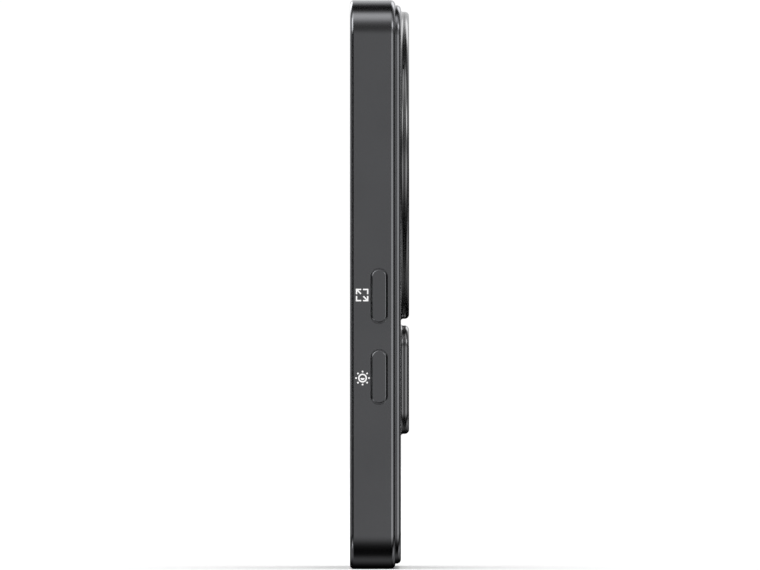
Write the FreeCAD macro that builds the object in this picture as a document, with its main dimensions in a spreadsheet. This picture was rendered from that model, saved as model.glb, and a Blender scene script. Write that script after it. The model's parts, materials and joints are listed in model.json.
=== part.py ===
import FreeCAD, Part
import math
import os
import re
import Sketcher
from FreeCAD import Placement, Rotation, Vector

# A magnetic phone monitor: a small flat screen that clings to the back of a phone.
# X runs across the screen, the screen looks along -Y, the magnet ring along +Y, Z is up.
# The origin is at the middle of the bottom end. Lengths are in millimetres.

doc = FreeCAD.newDocument("PhoneMonitor")
sheet = doc.addObject("Spreadsheet::Sheet", "Sizes")

sizes = [
    # Outer shell
    ("bodyWidth", 60.0), ("bodyHeight", 103.2), ("frameDepth", 8.25), ("bodyCorner", 6.35),
    ("frameRound", 0.72), ("frameBackRound", 0.9), ("frameWall", 1.6), ("rimWide", 1.3),
    ("coverThick", 1.0), ("coverInset", 0.94), ("coverRound", 0.78),
    ("skirtDeep", 1.2), ("skirtThick", 0.8), ("skirtGap", 0.1), ("skirtSlot", 11.0),
    ("snapLong", 5.8), ("snapTall", 0.6), ("snapOut", 0.25), ("snapGap", 0.12), ("snapPitch", 36.0),
    # Glass and screen
    ("glassSetback", 0.1), ("glassThick", 1.0), ("glassGap", 0.1), ("glassRound", 0.3),
    ("tapeThick", 0.15), ("tapeInset", 0.15), ("tapeMargin", 0.1),
    ("panelWidth", 54.8), ("panelHeight", 92.4), ("panelRise", 5.4), ("panelGap", 0.2), ("foldRoom", 1.0),
    ("cellInset", 0.45), ("cellThick", 0.5), ("driverLedge", 3.0),
    ("polariserInset", 0.5), ("polariserThick", 0.12),
    ("filmThick", 0.1), ("filmGap", 0.1), ("guideThick", 0.5), ("reflectorThick", 0.1),
    ("trayThick", 0.15), ("trayGap", 0.05), ("lampWall", 1.2), ("lampRoom", 2.6),
    ("lampCount", 8), ("lampWide", 3.0), ("lampTall", 0.8), ("lampPitch", 6.2), ("lampGap", 0.1),
    ("driverWidth", 22.0), ("driverTall", 1.2), ("driverThick", 0.24),
    ("foamThick", 0.26), ("foamSide", 3.4), ("foamLow", 20.6), ("foamTop", 1.8), ("foamCorner", 2.0),
    # Chassis plate and its screws
    ("chassisThick", 0.4), ("chassisGap", 0.15), ("windowWidth", 26.0), ("windowTall", 8.0),
    ("windowRise", 15.2), ("windowCorner", 1.0), ("chassisScrewX", 20.0), ("chassisScrewIn", 2.8),
    ("screwRadius", 0.68), ("screwFit", 0.02), ("screwClear", 0.15),
    ("headRadius", 1.1), ("headHigh", 0.45), ("crossLong", 1.3), ("crossWide", 0.3),
    ("chassisScrewLong", 1.5),
    # Battery
    ("batteryWidth", 44.0), ("batteryHeight", 47.0), ("batteryThick", 3.8), ("batteryRise", 50.5),
    ("batteryRound", 1.3), ("batteryTapeThick", 0.15), ("batteryTapeIn", 4.0),
    ("circuitHeight", 3.0), ("circuitThick", 1.6), ("circuitIn", 2.0),
    ("leadRadius", 0.5), ("leadPitch", 1.25), ("leadBend", 1.0), ("leadStart", 8.0),
    # Main board
    ("boardWidth", 46.0), ("boardHeight", 39.0), ("boardThick", 0.8), ("boardRise", 4.5),
    ("boardCorner", 1.0),
    ("spacerHigh", 1.1), ("spacerRadius", 1.6), ("boardScrewIn", 2.5), ("boardScrewLong", 1.7),
    ("canWidth", 26.0), ("canTall", 20.0), ("canHigh", 1.7), ("canSheet", 0.2), ("canCorner", 0.6),
    ("canX", -6.0), ("canRise", 29.0), ("chipEdge", 1.5), ("chipRow", 8.0),
    ("processorWide", 13.0), ("processorHigh", 1.1), ("memoryWide", 8.0),
    ("memoryTall", 11.0), ("memoryHigh", 0.9), ("wirelessWide", 10.0), ("wirelessHigh", 1.4),
    ("wirelessGap", 2.0), ("wirelessLift", 4.0), ("powerChipWide", 5.0), ("powerChipHigh", 0.8),
    ("powerChipIn", 5.0), ("coilWide", 4.0), ("coilHigh", 2.0), ("coilCap", 1.68), ("coilIn", 13.0),
    ("coilEdge", 4.46), ("coilPitch", 5.6), ("capacitorWide", 1.0), ("capacitorTall", 0.5),
    ("capacitorPitch", 1.9), ("capacitorCount", 6), ("capacitorIn", 5.0), ("capacitorLow", 3.5),
    ("capacitorTop", 12.0),
    ("antennaWide", 5.2), ("antennaTall", 1.6), ("antennaHigh", 1.0),
    ("headerWidth", 5.0), ("headerTall", 4.0), ("headerHigh", 2.3), ("headerWall", 0.45),
    ("headerX", -12.0), ("headerEdge", 0.2), ("plugGap", 0.05),
    ("displayPlugWidth", 23.0), ("displayPlugTall", 3.2), ("displayPlugHigh", 0.95),
    ("displayPlugRise", 15.7), ("flexLead", 0.45),
    ("displayPlugEnd", 1.5), ("displayFlexBend", 0.65),
    ("keyPlugWide", 2.2), ("keyPlugTall", 5.0), ("keyPlugHigh", 1.2), ("plugBack", 0.6),
    ("plugEdge", 0.3),
    # Charging socket and its light
    ("socketWidth", 8.94), ("socketTall", 3.2), ("socketLong", 7.3), ("socketCorner", 1.2),
    ("socketSheet", 0.3), ("socketInset", 0.3), ("socketDepth", 5.65), ("socketGap", 0.1),
    ("tongueWidth", 6.7), ("tongueThick", 0.7), ("tongueCorner", 0.2), ("tongueLong", 4.6),
    ("tongueBase", 1.6), ("pipeX", 9.5), ("pipeRadius", 0.55), ("pipeGap", 0.05), ("pipeDepth", 5.8),
    ("pipeInset", 0.1), ("lightWide", 1.6), ("lightEdge", 0.4),
    # Side keys: a slot in the wall, a cap in the slot, a switch behind it
    ("keySlotWide", 3.12), ("keySlotLong", 10.03), ("keyDepth", 5.26), ("keyGap", 0.24),
    ("keyProud", 0.35), ("keyRound", 0.18), ("keyStop", 0.05), ("flangeThick", 0.5),
    ("flangeEar", 1.3), ("nubRadius", 0.65), ("nubLong", 0.4), ("keyTravel", 0.25),
    ("plungerRadius", 0.7), ("plungerLong", 0.7), ("plungerOut", 0.25), ("plungerGap", 0.05),
    ("domeHigh", 0.12), ("domeGap", 0.06), ("switchDeep", 2.6), ("switchTall", 3.6),
    ("switchHigh", 1.2), ("keyBoardDeep", 2.8), ("keyBoardThick", 0.6), ("bracketThick", 0.4),
    ("bracketFoot", 2.0), ("flexThick", 0.12), ("flexWide", 4.0), ("flexBend", 0.6), ("flexEdge", 0.4),
    ("zoomRise", 49.5), ("brightnessRise", 34.85), ("powerRise", 49.5),
    ("keyBoardEnd", 6.0), ("keyBoardEdge", 0.5), ("bracketGap", 1.0), ("rightFlexRise", 26.5),
    ("leftFlexRise", 36.5),
    # Magnet ring and bar
    ("ringRadius", 28.0), ("ringWide", 6.0), ("ringRise", 73.33), ("ringProud", 1.5),
    ("ringSink", 0.4), ("ringBase", 0.6), ("ringFlare", 0.35), ("flareEdge", 0.01), ("seatGap", 0.05),
    ("holderWall", 0.8), ("holderFloor", 0.25), ("yokeThick", 0.3), ("magnetGap", 0.1),
    ("magnetCount", 16), ("magnetSplit", 0.5), ("padTop", 0.5), ("padRound", 0.8), ("padLip", 0.35),
    ("barWidth", 8.1), ("barLong", 19.8), ("barRise", 34.24),
]
aliases = set()
for row, (alias, size) in enumerate(sizes, 1):
    sheet.set(f"A{row}", alias)
    sheet.set(f"B{row}", str(size))
    sheet.setAlias(f"B{row}", alias)
    aliases.add(alias)
doc.recompute()

# Depths are counted from the front rim of the frame towards the back.
front = "-(frameDepth + coverThick + ringProud) / 2"
seatDeep = "glassSetback + glassThick + tapeThick"
cellDeep = f"{seatDeep} + polariserThick"
rearPolariserDeep = f"{cellDeep} + cellThick"
filmDeep = f"{rearPolariserDeep} + polariserThick"
guideDeep = f"{filmDeep} + 2 * filmThick"
reflectorDeep = f"{guideDeep} + guideThick"
trayDeep = f"{reflectorDeep} + reflectorThick"
foamDeep = f"{trayDeep} + trayThick"
chassisDeep = f"{foamDeep} + foamThick"
bayDeep = f"{chassisDeep} + chassisThick"
boardDeep = f"{bayDeep} + spacerHigh"
partsDeep = f"{boardDeep} + boardThick"
batteryDeep = f"{bayDeep} + batteryTapeThick"
coverBack = "frameDepth + coverThick"
holderDeep = f"{coverBack} - ringSink"
yokeDeep = f"{holderDeep} + holderFloor"
magnetDeep = f"{yokeDeep} + yokeThick"
padDeep = f"{coverBack} + ringBase"
magnetThick = "ringSink + ringProud - padTop - holderFloor - yokeThick"

midHeight = "bodyHeight / 2"
cellWidth = "panelWidth - 2 * cellInset"
cellHeight = "panelHeight - 2 * cellInset"
panelMiddle = "panelRise + panelHeight / 2"
openingMiddle = f"{panelMiddle} + (panelGap - foldRoom) / 2"
cellBottom = f"{panelMiddle} - ({cellHeight}) / 2"
lampBottom = "panelRise + lampWall"
guideWidth = "panelWidth - 2 * lampWall - 2 * filmGap"
guideHeight = "panelHeight - 2 * lampWall - lampRoom - filmGap"
guideRise = f"{panelMiddle} + (lampRoom - filmGap) / 2"
foamHeight = "panelHeight - foamLow - foamTop"
boardTop = "boardRise + boardHeight"
innerWall = "bodyWidth / 2 - frameWall"
nubTip = f"{innerWall} - keyStop - flangeThick - nubLong"
switchTop = f"{nubTip} - plungerOut"
switchFoot = f"{switchTop} - switchHigh"
keyBoardFoot = f"{switchFoot} - keyBoardThick"
wellDeep = "plungerLong - plungerOut + keyTravel + domeGap + domeHigh"


def formula(text):
    # Size names in a formula become references to the sheet's cells.
    return re.sub(r"[A-Za-z]+", lambda word: f"Sizes.{word[0]}" if word[0] in aliases else word[0], text)


def number(text):
    return float(sheet.evalExpression(formula(text)))


def bind(item, setting, text):
    item.setExpression(setting, formula(text))


def place(item, x, deep, z):
    # The item's own origin goes to x and z, at a depth behind the front rim.
    bind(item, "Placement.Base.x", x)
    bind(item, "Placement.Base.y", f"{front} + {deep}")
    bind(item, "Placement.Base.z", z)
    return item


# ---- Outlines for sketches, each centred on the sketch's origin

def dimension(sketch, kind, *values):
    # The last value is the formula that drives the dimension.
    text = values[-1]
    index = sketch.addConstraint(Sketcher.Constraint(kind, *values[:-1], number(text)))
    bind(sketch, f"Constraints[{index}]", text)


def relate(sketch, kind, *values):
    sketch.addConstraint(Sketcher.Constraint(kind, *values))


def circle(radius):
    def draw(sketch):
        edge = sketch.addGeometry(Part.Circle(Vector(), Vector(0, 0, 1), number(radius)), False)
        relate(sketch, "Coincident", edge, 3, -1, 1)
        dimension(sketch, "Radius", edge, radius)
    return draw


def roundRect(width, tall, corner):
    def draw(sketch):
        halfWidth = number(width) / 2
        halfTall = number(tall) / 2
        radius = number(corner)
        arcs = []
        lines = []
        for turn, (across, up) in enumerate(((1, -1), (1, 1), (-1, 1), (-1, -1))):
            middle = Vector(across * (halfWidth - radius), up * (halfTall - radius), 0)
            start = math.radians(90 * turn - 90)
            bend = Part.ArcOfCircle(Part.Circle(middle, Vector(0, 0, 1), radius), start, start + math.pi / 2)
            arcs.append(sketch.addGeometry(bend, False))
        for turn in range(4):
            begin = sketch.Geometry[arcs[turn - 1]].EndPoint
            end = sketch.Geometry[arcs[turn]].StartPoint
            lines.append(sketch.addGeometry(Part.LineSegment(begin, end), False))
        for turn in range(4):
            relate(sketch, "Tangent", arcs[turn - 1], 2, lines[turn], 1)
            relate(sketch, "Tangent", lines[turn], 2, arcs[turn], 1)
            relate(sketch, "Vertical" if turn % 2 else "Horizontal", lines[turn])
        for turn in range(1, 4):
            relate(sketch, "Equal", arcs[0], arcs[turn])
        relate(sketch, "Symmetric", lines[0], 1, lines[2], 1, -1, 1)
        dimension(sketch, "Radius", arcs[0], corner)
        dimension(sketch, "DistanceX", lines[3], 1, lines[1], 1, width)
        dimension(sketch, "DistanceY", lines[0], 1, lines[2], 1, tall)
    return draw


def rectangle(width, tall):
    def draw(sketch):
        halfWidth = number(width) / 2
        halfTall = number(tall) / 2
        corners = [Vector(-halfWidth, -halfTall, 0), Vector(halfWidth, -halfTall, 0),
                   Vector(halfWidth, halfTall, 0), Vector(-halfWidth, halfTall, 0)]
        lines = [sketch.addGeometry(Part.LineSegment(corners[turn], corners[(turn + 1) % 4]), False)
                 for turn in range(4)]
        for turn in range(4):
            relate(sketch, "Coincident", lines[turn], 2, lines[(turn + 1) % 4], 1)
            relate(sketch, "Vertical" if turn % 2 else "Horizontal", lines[turn])
        relate(sketch, "Symmetric", lines[0], 1, lines[2], 1, -1, 1)
        dimension(sketch, "DistanceX", lines[0], 1, lines[0], 2, width)
        dimension(sketch, "DistanceY", lines[1], 1, lines[1], 2, tall)
    return draw


def pill(wide, long):
    # An upright slot with full-round ends.
    def draw(sketch):
        radius = number(wide) / 2
        reach = number(long) / 2 - radius
        top = Part.ArcOfCircle(Part.Circle(Vector(0, reach, 0), Vector(0, 0, 1), radius), 0, math.pi)
        foot = Part.ArcOfCircle(
            Part.Circle(Vector(0, -reach, 0), Vector(0, 0, 1), radius), math.pi, 2 * math.pi)
        arcs = [sketch.addGeometry(top, False), sketch.addGeometry(foot, False)]
        lines = []
        for turn in range(2):
            begin = sketch.Geometry[arcs[turn]].EndPoint
            end = sketch.Geometry[arcs[1 - turn]].StartPoint
            lines.append(sketch.addGeometry(Part.LineSegment(begin, end), False))
        for turn in range(2):
            relate(sketch, "Tangent", arcs[turn], 2, lines[turn], 1)
            relate(sketch, "Tangent", lines[turn], 2, arcs[1 - turn], 1)
            relate(sketch, "Vertical", lines[turn])
        relate(sketch, "Symmetric", arcs[0], 3, arcs[1], 3, -1, 1)
        dimension(sketch, "Radius", arcs[0], f"({wide}) / 2")
        dimension(sketch, "DistanceY", arcs[1], 3, arcs[0], 3, f"({long}) - ({wide})")
    return draw


# ---- Features of a body

def newBody(label):
    body = doc.addObject("PartDesign::Body", "Body")
    body.Label = label
    return body


def originItem(body, role):
    return [item for item in body.Origin.OriginFeatures if item.Role == role][0]


def sketchOn(body, plane, outlines, x, y, z):
    # x, y and z move the sketch from the body's own origin; the XZ plane's normal is -Y.
    sketch = body.newObject("Sketcher::SketchObject", "Outline")
    sketch.AttachmentSupport = [(originItem(body, plane), "")]
    sketch.MapMode = "FlatFace"
    moves = {"XZ_Plane": (x, z, f"-({y})"), "YZ_Plane": (y, z, x), "XY_Plane": (x, y, z)}[plane]
    for direction, move in zip("xyz", moves):
        bind(sketch, f"AttachmentOffset.Base.{direction}", move)
    for draw in outlines:
        draw(sketch)
    return sketch


def pad(body, plane, outlines, length, x="0", y="0", z="0", towards=1):
    # towards is 1 to grow along the plane's positive axis, -1 to grow the other way.
    feature = body.newObject("PartDesign::Pad", "Pad")
    feature.Profile = sketchOn(body, plane, outlines, x, y, z)
    bind(feature, "Length", length)
    feature.Reversed = towards * (-1 if plane == "XZ_Plane" else 1) < 0
    doc.recompute()
    return feature


def pocket(body, plane, outlines, length, x="0", y="0", z="0", towards=1):
    whole = body.Shape.Volume
    feature = body.newObject("PartDesign::Pocket", "Pocket")
    feature.Profile = sketchOn(body, plane, outlines, x, y, z)
    bind(feature, "Length", length)
    feature.Reversed = towards * (-1 if plane == "XZ_Plane" else 1) > 0
    doc.recompute()
    if body.Shape.Volume > whole - 1e-6:
        raise RuntimeError(f"{body.Label}: a pocket cuts nothing")
    return feature


def edgesWhere(body, test):
    return [f"Edge{count}" for count, edge in enumerate(body.Tip.Shape.Edges, 1) if test(edge)]


def atDepth(text):
    # Picks edges that lie wholly at one depth of their body.
    depth = number(text)

    def test(edge):
        box = edge.BoundBox
        return abs(box.YMin - depth) < 1e-4 and abs(box.YMax - depth) < 1e-4
    return test


def blend(body, radius, test, kind="Fillet"):
    base = body.Tip
    edges = edgesWhere(body, test)
    feature = body.newObject(f"PartDesign::{kind}", kind)
    feature.Base = (base, edges)
    bind(feature, "Radius" if kind == "Fillet" else "Size", radius)
    doc.recompute()
    return feature


def plate(label, outlines, thick, x, deep, z):
    # A flat piece that starts at a depth and grows towards the back.
    body = newBody(label)
    pad(body, "XZ_Plane", outlines, thick)
    return place(body, x, deep, z)


# ---- Plain solids

def block(label, width, thick, tall, x, deep, z):
    # A box centred on x and z, its front face at a depth.
    box = doc.addObject("Part::Box", "Box")
    box.Label = label
    bind(box, "Length", width)
    bind(box, "Width", thick)
    bind(box, "Height", tall)
    return place(box, f"{x} - ({width}) / 2", deep, f"{z} - ({tall}) / 2")


def rod(label, radius, length, x, deep, z, turn):
    # A cylinder that starts at a point; turn is the rotation from +Z.
    cylinder = doc.addObject("Part::Cylinder", "Rod")
    cylinder.Label = label
    cylinder.Placement = Placement(Vector(), turn)
    bind(cylinder, "Radius", radius)
    bind(cylinder, "Height", length)
    return place(cylinder, x, deep, z)


def joined(label, items):
    fuse = doc.addObject("Part::MultiFuse", "Fuse")
    fuse.Label = label
    fuse.Shapes = items
    return fuse


def without(label, base, tool):
    cut = doc.addObject("Part::Cut", "Cut")
    cut.Label = label
    cut.Base = base
    cut.Tool = tool
    return cut


def group(label, items):
    # Like pieces that share one node stay separate solids.
    compound = doc.addObject("Part::Compound", "Group")
    compound.Label = label
    compound.Links = items
    return compound


toBack = Rotation(Vector(1, 0, 0), -90)
toRight = Rotation(Vector(0, 1, 0), 90)
toLeft = Rotation(Vector(0, 1, 0), -90)
upward = Rotation()


def route(points, radius):
    # Straight runs joined by tangent arcs of one radius.
    edges = []
    begin = points[0]
    for before, corner, after in zip(points, points[1:], points[2:]):
        arrive = (corner - before).normalize()
        leave = (after - corner).normalize()
        turn = arrive.getAngle(leave)
        reach = radius * math.tan(turn / 2)
        arcStart = corner - arrive * reach
        arcEnd = corner + leave * reach
        bisector = (leave - arrive).normalize()
        arcMiddle = corner + bisector * (radius / math.cos(turn / 2) - radius)
        edges.append(Part.LineSegment(begin, arcStart).toShape())
        edges.append(Part.Arc(arcStart, arcMiddle, arcEnd).toShape())
        begin = arcEnd
    edges.append(Part.LineSegment(begin, points[-1]).toShape())
    return Part.Wire(edges)


def swept(label, path, profile):
    item = doc.addObject("Part::Feature", "Swept")
    item.Label = label
    item.Shape = path.makePipeShell([profile], True, False)
    return item


def ribbonProfile(middle, widthAxis, thickAxis, width, thick):
    across = widthAxis * (width / 2)
    through = thickAxis * (thick / 2)
    return Part.makePolygon([middle - across - through, middle + across - through,
                             middle + across + through, middle - across + through,
                             middle - across - through])


# ---- Casing

def keySlots():
    # Each side key: label, side (1 is +X), height of its middle.
    return [("zoom", 1, "zoomRise"), ("brightness", 1, "brightnessRise"), ("power", -1, "powerRise")]


def chassisScrewSpots():
    heights = ["chassisScrewIn", "bodyHeight - chassisScrewIn"]
    return [(f"{side} * chassisScrewX", height) for height in heights for side in (-1, 1)]


def boardScrewSpots():
    heights = ["boardRise + boardScrewIn", f"{boardTop} - boardScrewIn"]
    return [(f"{side} * (boardWidth / 2 - boardScrewIn)", height) for height in heights for side in (-1, 1)]


def snapSpots():
    return [(side, f"{step} * snapPitch") for side in (-1, 1) for step in (-1, 0, 1)]


def mainFrame():
    frame = newBody("main_frame")
    pad(frame, "XZ_Plane", [roundRect("bodyWidth", "bodyHeight", "bodyCorner")], "frameDepth")
    blend(frame, "frameRound", atDepth("0"))
    blend(frame, "frameBackRound", atDepth("frameDepth"))
    seat = roundRect("bodyWidth - 2 * rimWide", "bodyHeight - 2 * rimWide", "bodyCorner - rimWide")
    pocket(frame, "XZ_Plane", [seat], seatDeep)
    opening = rectangle("panelWidth + 2 * panelGap", "panelHeight + panelGap + foldRoom")
    pocket(frame, "XZ_Plane", [opening], "frameDepth", z=f"{openingMiddle} - {midHeight}")
    bay = roundRect("bodyWidth - 2 * frameWall", "bodyHeight - 2 * frameWall", "bodyCorner - frameWall")
    pocket(frame, "XZ_Plane", [bay], f"frameDepth - ({chassisDeep})", y=chassisDeep)
    for label, side, rise in keySlots():
        pocket(frame, "YZ_Plane", [pill("keySlotWide", "keySlotLong")], "2 * frameWall",
               x=f"{side} * ({innerWall}) - {side} * frameWall / 2", y="keyDepth",
               z=f"{rise} - {midHeight}", towards=side)
    mouth = roundRect("socketWidth + 2 * socketGap", "socketTall + 2 * socketGap",
                      "socketCorner + socketGap")
    pocket(frame, "XY_Plane", [mouth], "2 * frameWall", y="socketDepth",
           z=f"1.5 * frameWall - {midHeight}", towards=-1)
    pocket(frame, "XY_Plane", [circle("pipeRadius + pipeGap")], "2 * frameWall", x="pipeX",
           y="pipeDepth", z=f"1.5 * frameWall - {midHeight}", towards=-1)
    for x, z in chassisScrewSpots():
        pocket(frame, "XZ_Plane", [circle("screwRadius + screwFit")], "chassisScrewLong",
               x=x, y=f"{chassisDeep} - chassisScrewLong", z=f"{z} - {midHeight}")
    for side, z in snapSpots():
        pocket(frame, "YZ_Plane", [rectangle("snapTall + 2 * snapGap", "snapLong + 2 * snapGap")],
               "skirtGap + snapOut + snapGap", x=f"{side} * ({innerWall} - skirtGap)",
               y="frameDepth - skirtDeep + snapTall / 2 + snapGap", z=z, towards=side)
    return place(frame, "0", "0", midHeight)


def rearCover():
    cover = newBody("rear_cover")
    pad(cover, "XZ_Plane", [roundRect("bodyWidth - 2 * coverInset", "bodyHeight - 2 * coverInset",
                                      "bodyCorner - coverInset")], "coverThick")
    blend(cover, "coverRound", atDepth("coverThick"))
    outer = roundRect("bodyWidth - 2 * (frameWall + skirtGap)", "bodyHeight - 2 * (frameWall + skirtGap)",
                      "bodyCorner - frameWall - skirtGap")
    inner = roundRect("bodyWidth - 2 * (frameWall + skirtGap + skirtThick)",
                      "bodyHeight - 2 * (frameWall + skirtGap + skirtThick)",
                      "bodyCorner - frameWall - skirtGap - skirtThick")
    pad(cover, "XZ_Plane", [outer, inner], "skirtDeep", towards=-1)
    for side, z in snapSpots():
        pad(cover, "YZ_Plane", [rectangle("snapTall", "snapLong")], "snapOut + skirtThick / 2",
            x=f"{side} * ({innerWall} - skirtGap - skirtThick / 2)",
            y="snapTall / 2 + snapGap - skirtDeep", z=z, towards=side)
    pocket(cover, "XZ_Plane", [rectangle("skirtSlot", "2 * skirtThick")], "skirtDeep",
           y="-skirtDeep", z="frameWall + skirtGap + skirtThick / 2 - bodyHeight / 2")
    seat = [circle("ringRadius + seatGap"), circle("ringRadius - ringWide - seatGap")]
    pocket(cover, "XZ_Plane", seat, "ringSink", y="coverThick - ringSink", z=f"ringRise - {midHeight}")
    pocket(cover, "XZ_Plane", [pill("barWidth + 2 * seatGap", "barLong + 2 * seatGap")], "ringSink",
           y="coverThick - ringSink", z=f"barRise - {midHeight}")
    return place(cover, "0", "frameDepth", midHeight)


def coverGlass():
    glass = plate("cover_glass", [roundRect("bodyWidth - 2 * (rimWide + glassGap)",
                                            "bodyHeight - 2 * (rimWide + glassGap)",
                                            "bodyCorner - rimWide - glassGap")],
                  "glassThick", "0", "glassSetback", midHeight)
    blend(glass, "glassRound", atDepth("0"))
    return glass


def glassTape():
    tape = plate("glass_tape", [roundRect("bodyWidth - 2 * (rimWide + tapeInset)",
                                          "bodyHeight - 2 * (rimWide + tapeInset)",
                                          "bodyCorner - rimWide - tapeInset")],
                 "tapeThick", "0", "glassSetback + glassThick", midHeight)
    pocket(tape, "XZ_Plane",
           [rectangle("panelWidth + 2 * (panelGap + tapeMargin)",
                      "panelHeight + panelGap + foldRoom + 2 * tapeMargin")],
           "tapeThick", z=f"{openingMiddle} - {midHeight}")
    return tape


# ---- Screen, from the glass inwards

def displayCell():
    # The front glass stops short of the rear one and leaves a ledge for the driver chip.
    cell = plate("display_cell", [rectangle(cellWidth, cellHeight)], "cellThick", "0", cellDeep,
                 panelMiddle)
    pocket(cell, "XZ_Plane", [rectangle("panelWidth", "2 * driverLedge")], "cellThick / 2",
           z=f"-({cellHeight}) / 2")
    return cell


def polarisers():
    # Both films cover the cell above the driver ledge.
    width = f"{cellWidth} - 2 * polariserInset"
    tall = f"{cellHeight} - driverLedge - 2 * polariserInset"
    rise = f"{panelMiddle} + driverLedge / 2"
    faces = [seatDeep, rearPolariserDeep]
    return group("polarisers", [block("polariser", width, "polariserThick", tall, "0", deep, rise)
                                for deep in faces])


def opticalAdhesive():
    return block("optical_adhesive", f"{cellWidth} - 2 * polariserInset", "tapeThick",
                 f"{cellHeight} - driverLedge - 2 * polariserInset", "0",
                 "glassSetback + glassThick", f"{panelMiddle} + driverLedge / 2")


def backlightFilms():
    depths = [filmDeep, f"{filmDeep} + filmThick"]
    return group("backlight_films", [block("film", guideWidth, "filmThick", guideHeight, "0", deep, guideRise)
                                     for deep in depths])


def backlightFrame():
    frame = plate("backlight_frame", [rectangle("panelWidth - 2 * (trayThick + trayGap)",
                                                "panelHeight - 2 * (trayThick + trayGap)")],
                  "2 * filmThick + guideThick + reflectorThick", "0", filmDeep, panelMiddle)
    pocket(frame, "XZ_Plane", [rectangle("panelWidth - 2 * lampWall", "panelHeight - 2 * lampWall")],
           "frameDepth")
    return frame


def backlightTray():
    # A shallow steel pan that holds the light guide and its frame.
    rimHigh = "2 * filmThick + guideThick + reflectorThick"
    tray = plate("backlight_tray", [rectangle("panelWidth", "panelHeight")], f"{rimHigh} + trayThick",
                 "0", filmDeep, panelMiddle)
    pocket(tray, "XZ_Plane", [rectangle("panelWidth - 2 * trayThick", "panelHeight - 2 * trayThick")],
           rimHigh)
    return tray


def backlightLamps():
    lamps = []
    for step in range(int(sheet.lampCount)):
        x = f"({step} - (lampCount - 1) / 2) * lampPitch"
        lamps.append(block("lamp", "lampWide", "guideThick", "lampTall", x, guideDeep,
                           f"{lampBottom} + lampRoom - lampGap - lampTall / 2"))
    return group("backlight_lamps", lamps)


def displayFlex():
    # From the cell's ledge it folds round the tray's bottom edge and on to the main board.
    frontY = number(f"{front} + {cellDeep} + (cellThick - flexThick) / 2")
    rearY = number(f"{front} + {foamDeep} + flexThick")
    plugY = number(f"{front} + {boardDeep} - displayPlugHigh / 2")
    bottom = number("panelRise")
    low = number(f"{bottom} - foldRoom + flexThick")
    slopeStart = number("windowRise - windowTall / 2 + flexLead")
    plugFoot = number("displayPlugRise - displayPlugTall / 2 - flexLead")
    points = [Vector(0, frontY, number(f"{bottom} + driverLedge / 2")),
              Vector(0, frontY, low),
              Vector(0, rearY, low),
              Vector(0, rearY, slopeStart),
              Vector(0, plugY, plugFoot),
              Vector(0, plugY, number("displayPlugRise + displayPlugTall / 4"))]
    profile = ribbonProfile(points[0], Vector(1, 0, 0), Vector(0, 1, 0),
                            number("displayPlugWidth - 2 * displayPlugEnd"), number("flexThick"))
    return swept("display_flex", route(points, number("displayFlexBend")), profile)


# ---- Chassis plate and main board

def chassisPlate():
    chassis = plate("chassis_plate", [roundRect("bodyWidth - 2 * (frameWall + chassisGap)",
                                                "bodyHeight - 2 * (frameWall + chassisGap)",
                                                "bodyCorner - frameWall - chassisGap")],
                    "chassisThick", "0", chassisDeep, midHeight)
    pocket(chassis, "XZ_Plane", [roundRect("windowWidth", "windowTall", "windowCorner")], "chassisThick",
           z=f"windowRise - {midHeight}")
    for x, z in chassisScrewSpots():
        pocket(chassis, "XZ_Plane", [circle("screwRadius + screwClear")], "chassisThick",
               x=x, z=f"{z} - {midHeight}")
    for x, z in boardScrewSpots():
        pad(chassis, "XZ_Plane", [circle("spacerRadius")], "spacerHigh", x=x, y="chassisThick",
            z=f"{z} - {midHeight}")
        pocket(chassis, "XZ_Plane", [circle("screwRadius + screwFit")], "chassisThick + spacerHigh",
               x=x, z=f"{z} - {midHeight}")
    return chassis


def screw(x, deep, z, length):
    # A flat-headed screw with a cross recess; its head's underside is at the given depth.
    head = rod("head", "headRadius", "headHigh", x, deep, z, toBack)
    shank = rod("shank", "screwRadius", length, x, f"{deep} - {length}", z, toBack)
    bars = [block("bar", wide, "headHigh / 2", tall, x, f"{deep} + headHigh / 2", z)
            for wide, tall in (("crossLong", "crossWide"), ("crossWide", "crossLong"))]
    return without("screw", joined("screwBlank", [head, shank]), joined("cross", bars))


def chassisScrews():
    return group("chassis_screws", [screw(x, bayDeep, z, "chassisScrewLong") for x, z in chassisScrewSpots()])


def boardScrews():
    return group("board_screws", [screw(x, partsDeep, z, "boardScrewLong") for x, z in boardScrewSpots()])


def mainBoard():
    middle = "boardRise + boardHeight / 2"
    board = plate("main_board", [roundRect("boardWidth", "boardHeight", "boardCorner")], "boardThick", "0",
                  boardDeep, middle)
    for x, z in boardScrewSpots():
        pocket(board, "XZ_Plane", [circle("screwRadius + screwClear")], "boardThick",
               x=x, z=f"{z} - ({middle})")
    notchTop = "socketInset + socketLong + 2 * socketGap"
    pocket(board, "XZ_Plane", [rectangle("socketWidth + 4 * socketGap", f"2 * ({notchTop} - boardRise)")],
           "boardThick", z="-boardHeight / 2")
    return board


def shieldCan():
    can = plate("shield_can", [roundRect("canWidth", "canTall", "canCorner")], "canHigh", "canX",
                partsDeep, "canRise")
    inside = roundRect("canWidth - 2 * canSheet", "canTall - 2 * canSheet", "canCorner - canSheet")
    pocket(can, "XZ_Plane", [inside], "canHigh - canSheet")
    return can


def chip(label, width, tall, high, x, z):
    # A square-cornered package soldered to the back of the main board.
    return block(label, width, high, tall, x, partsDeep, z)


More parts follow.
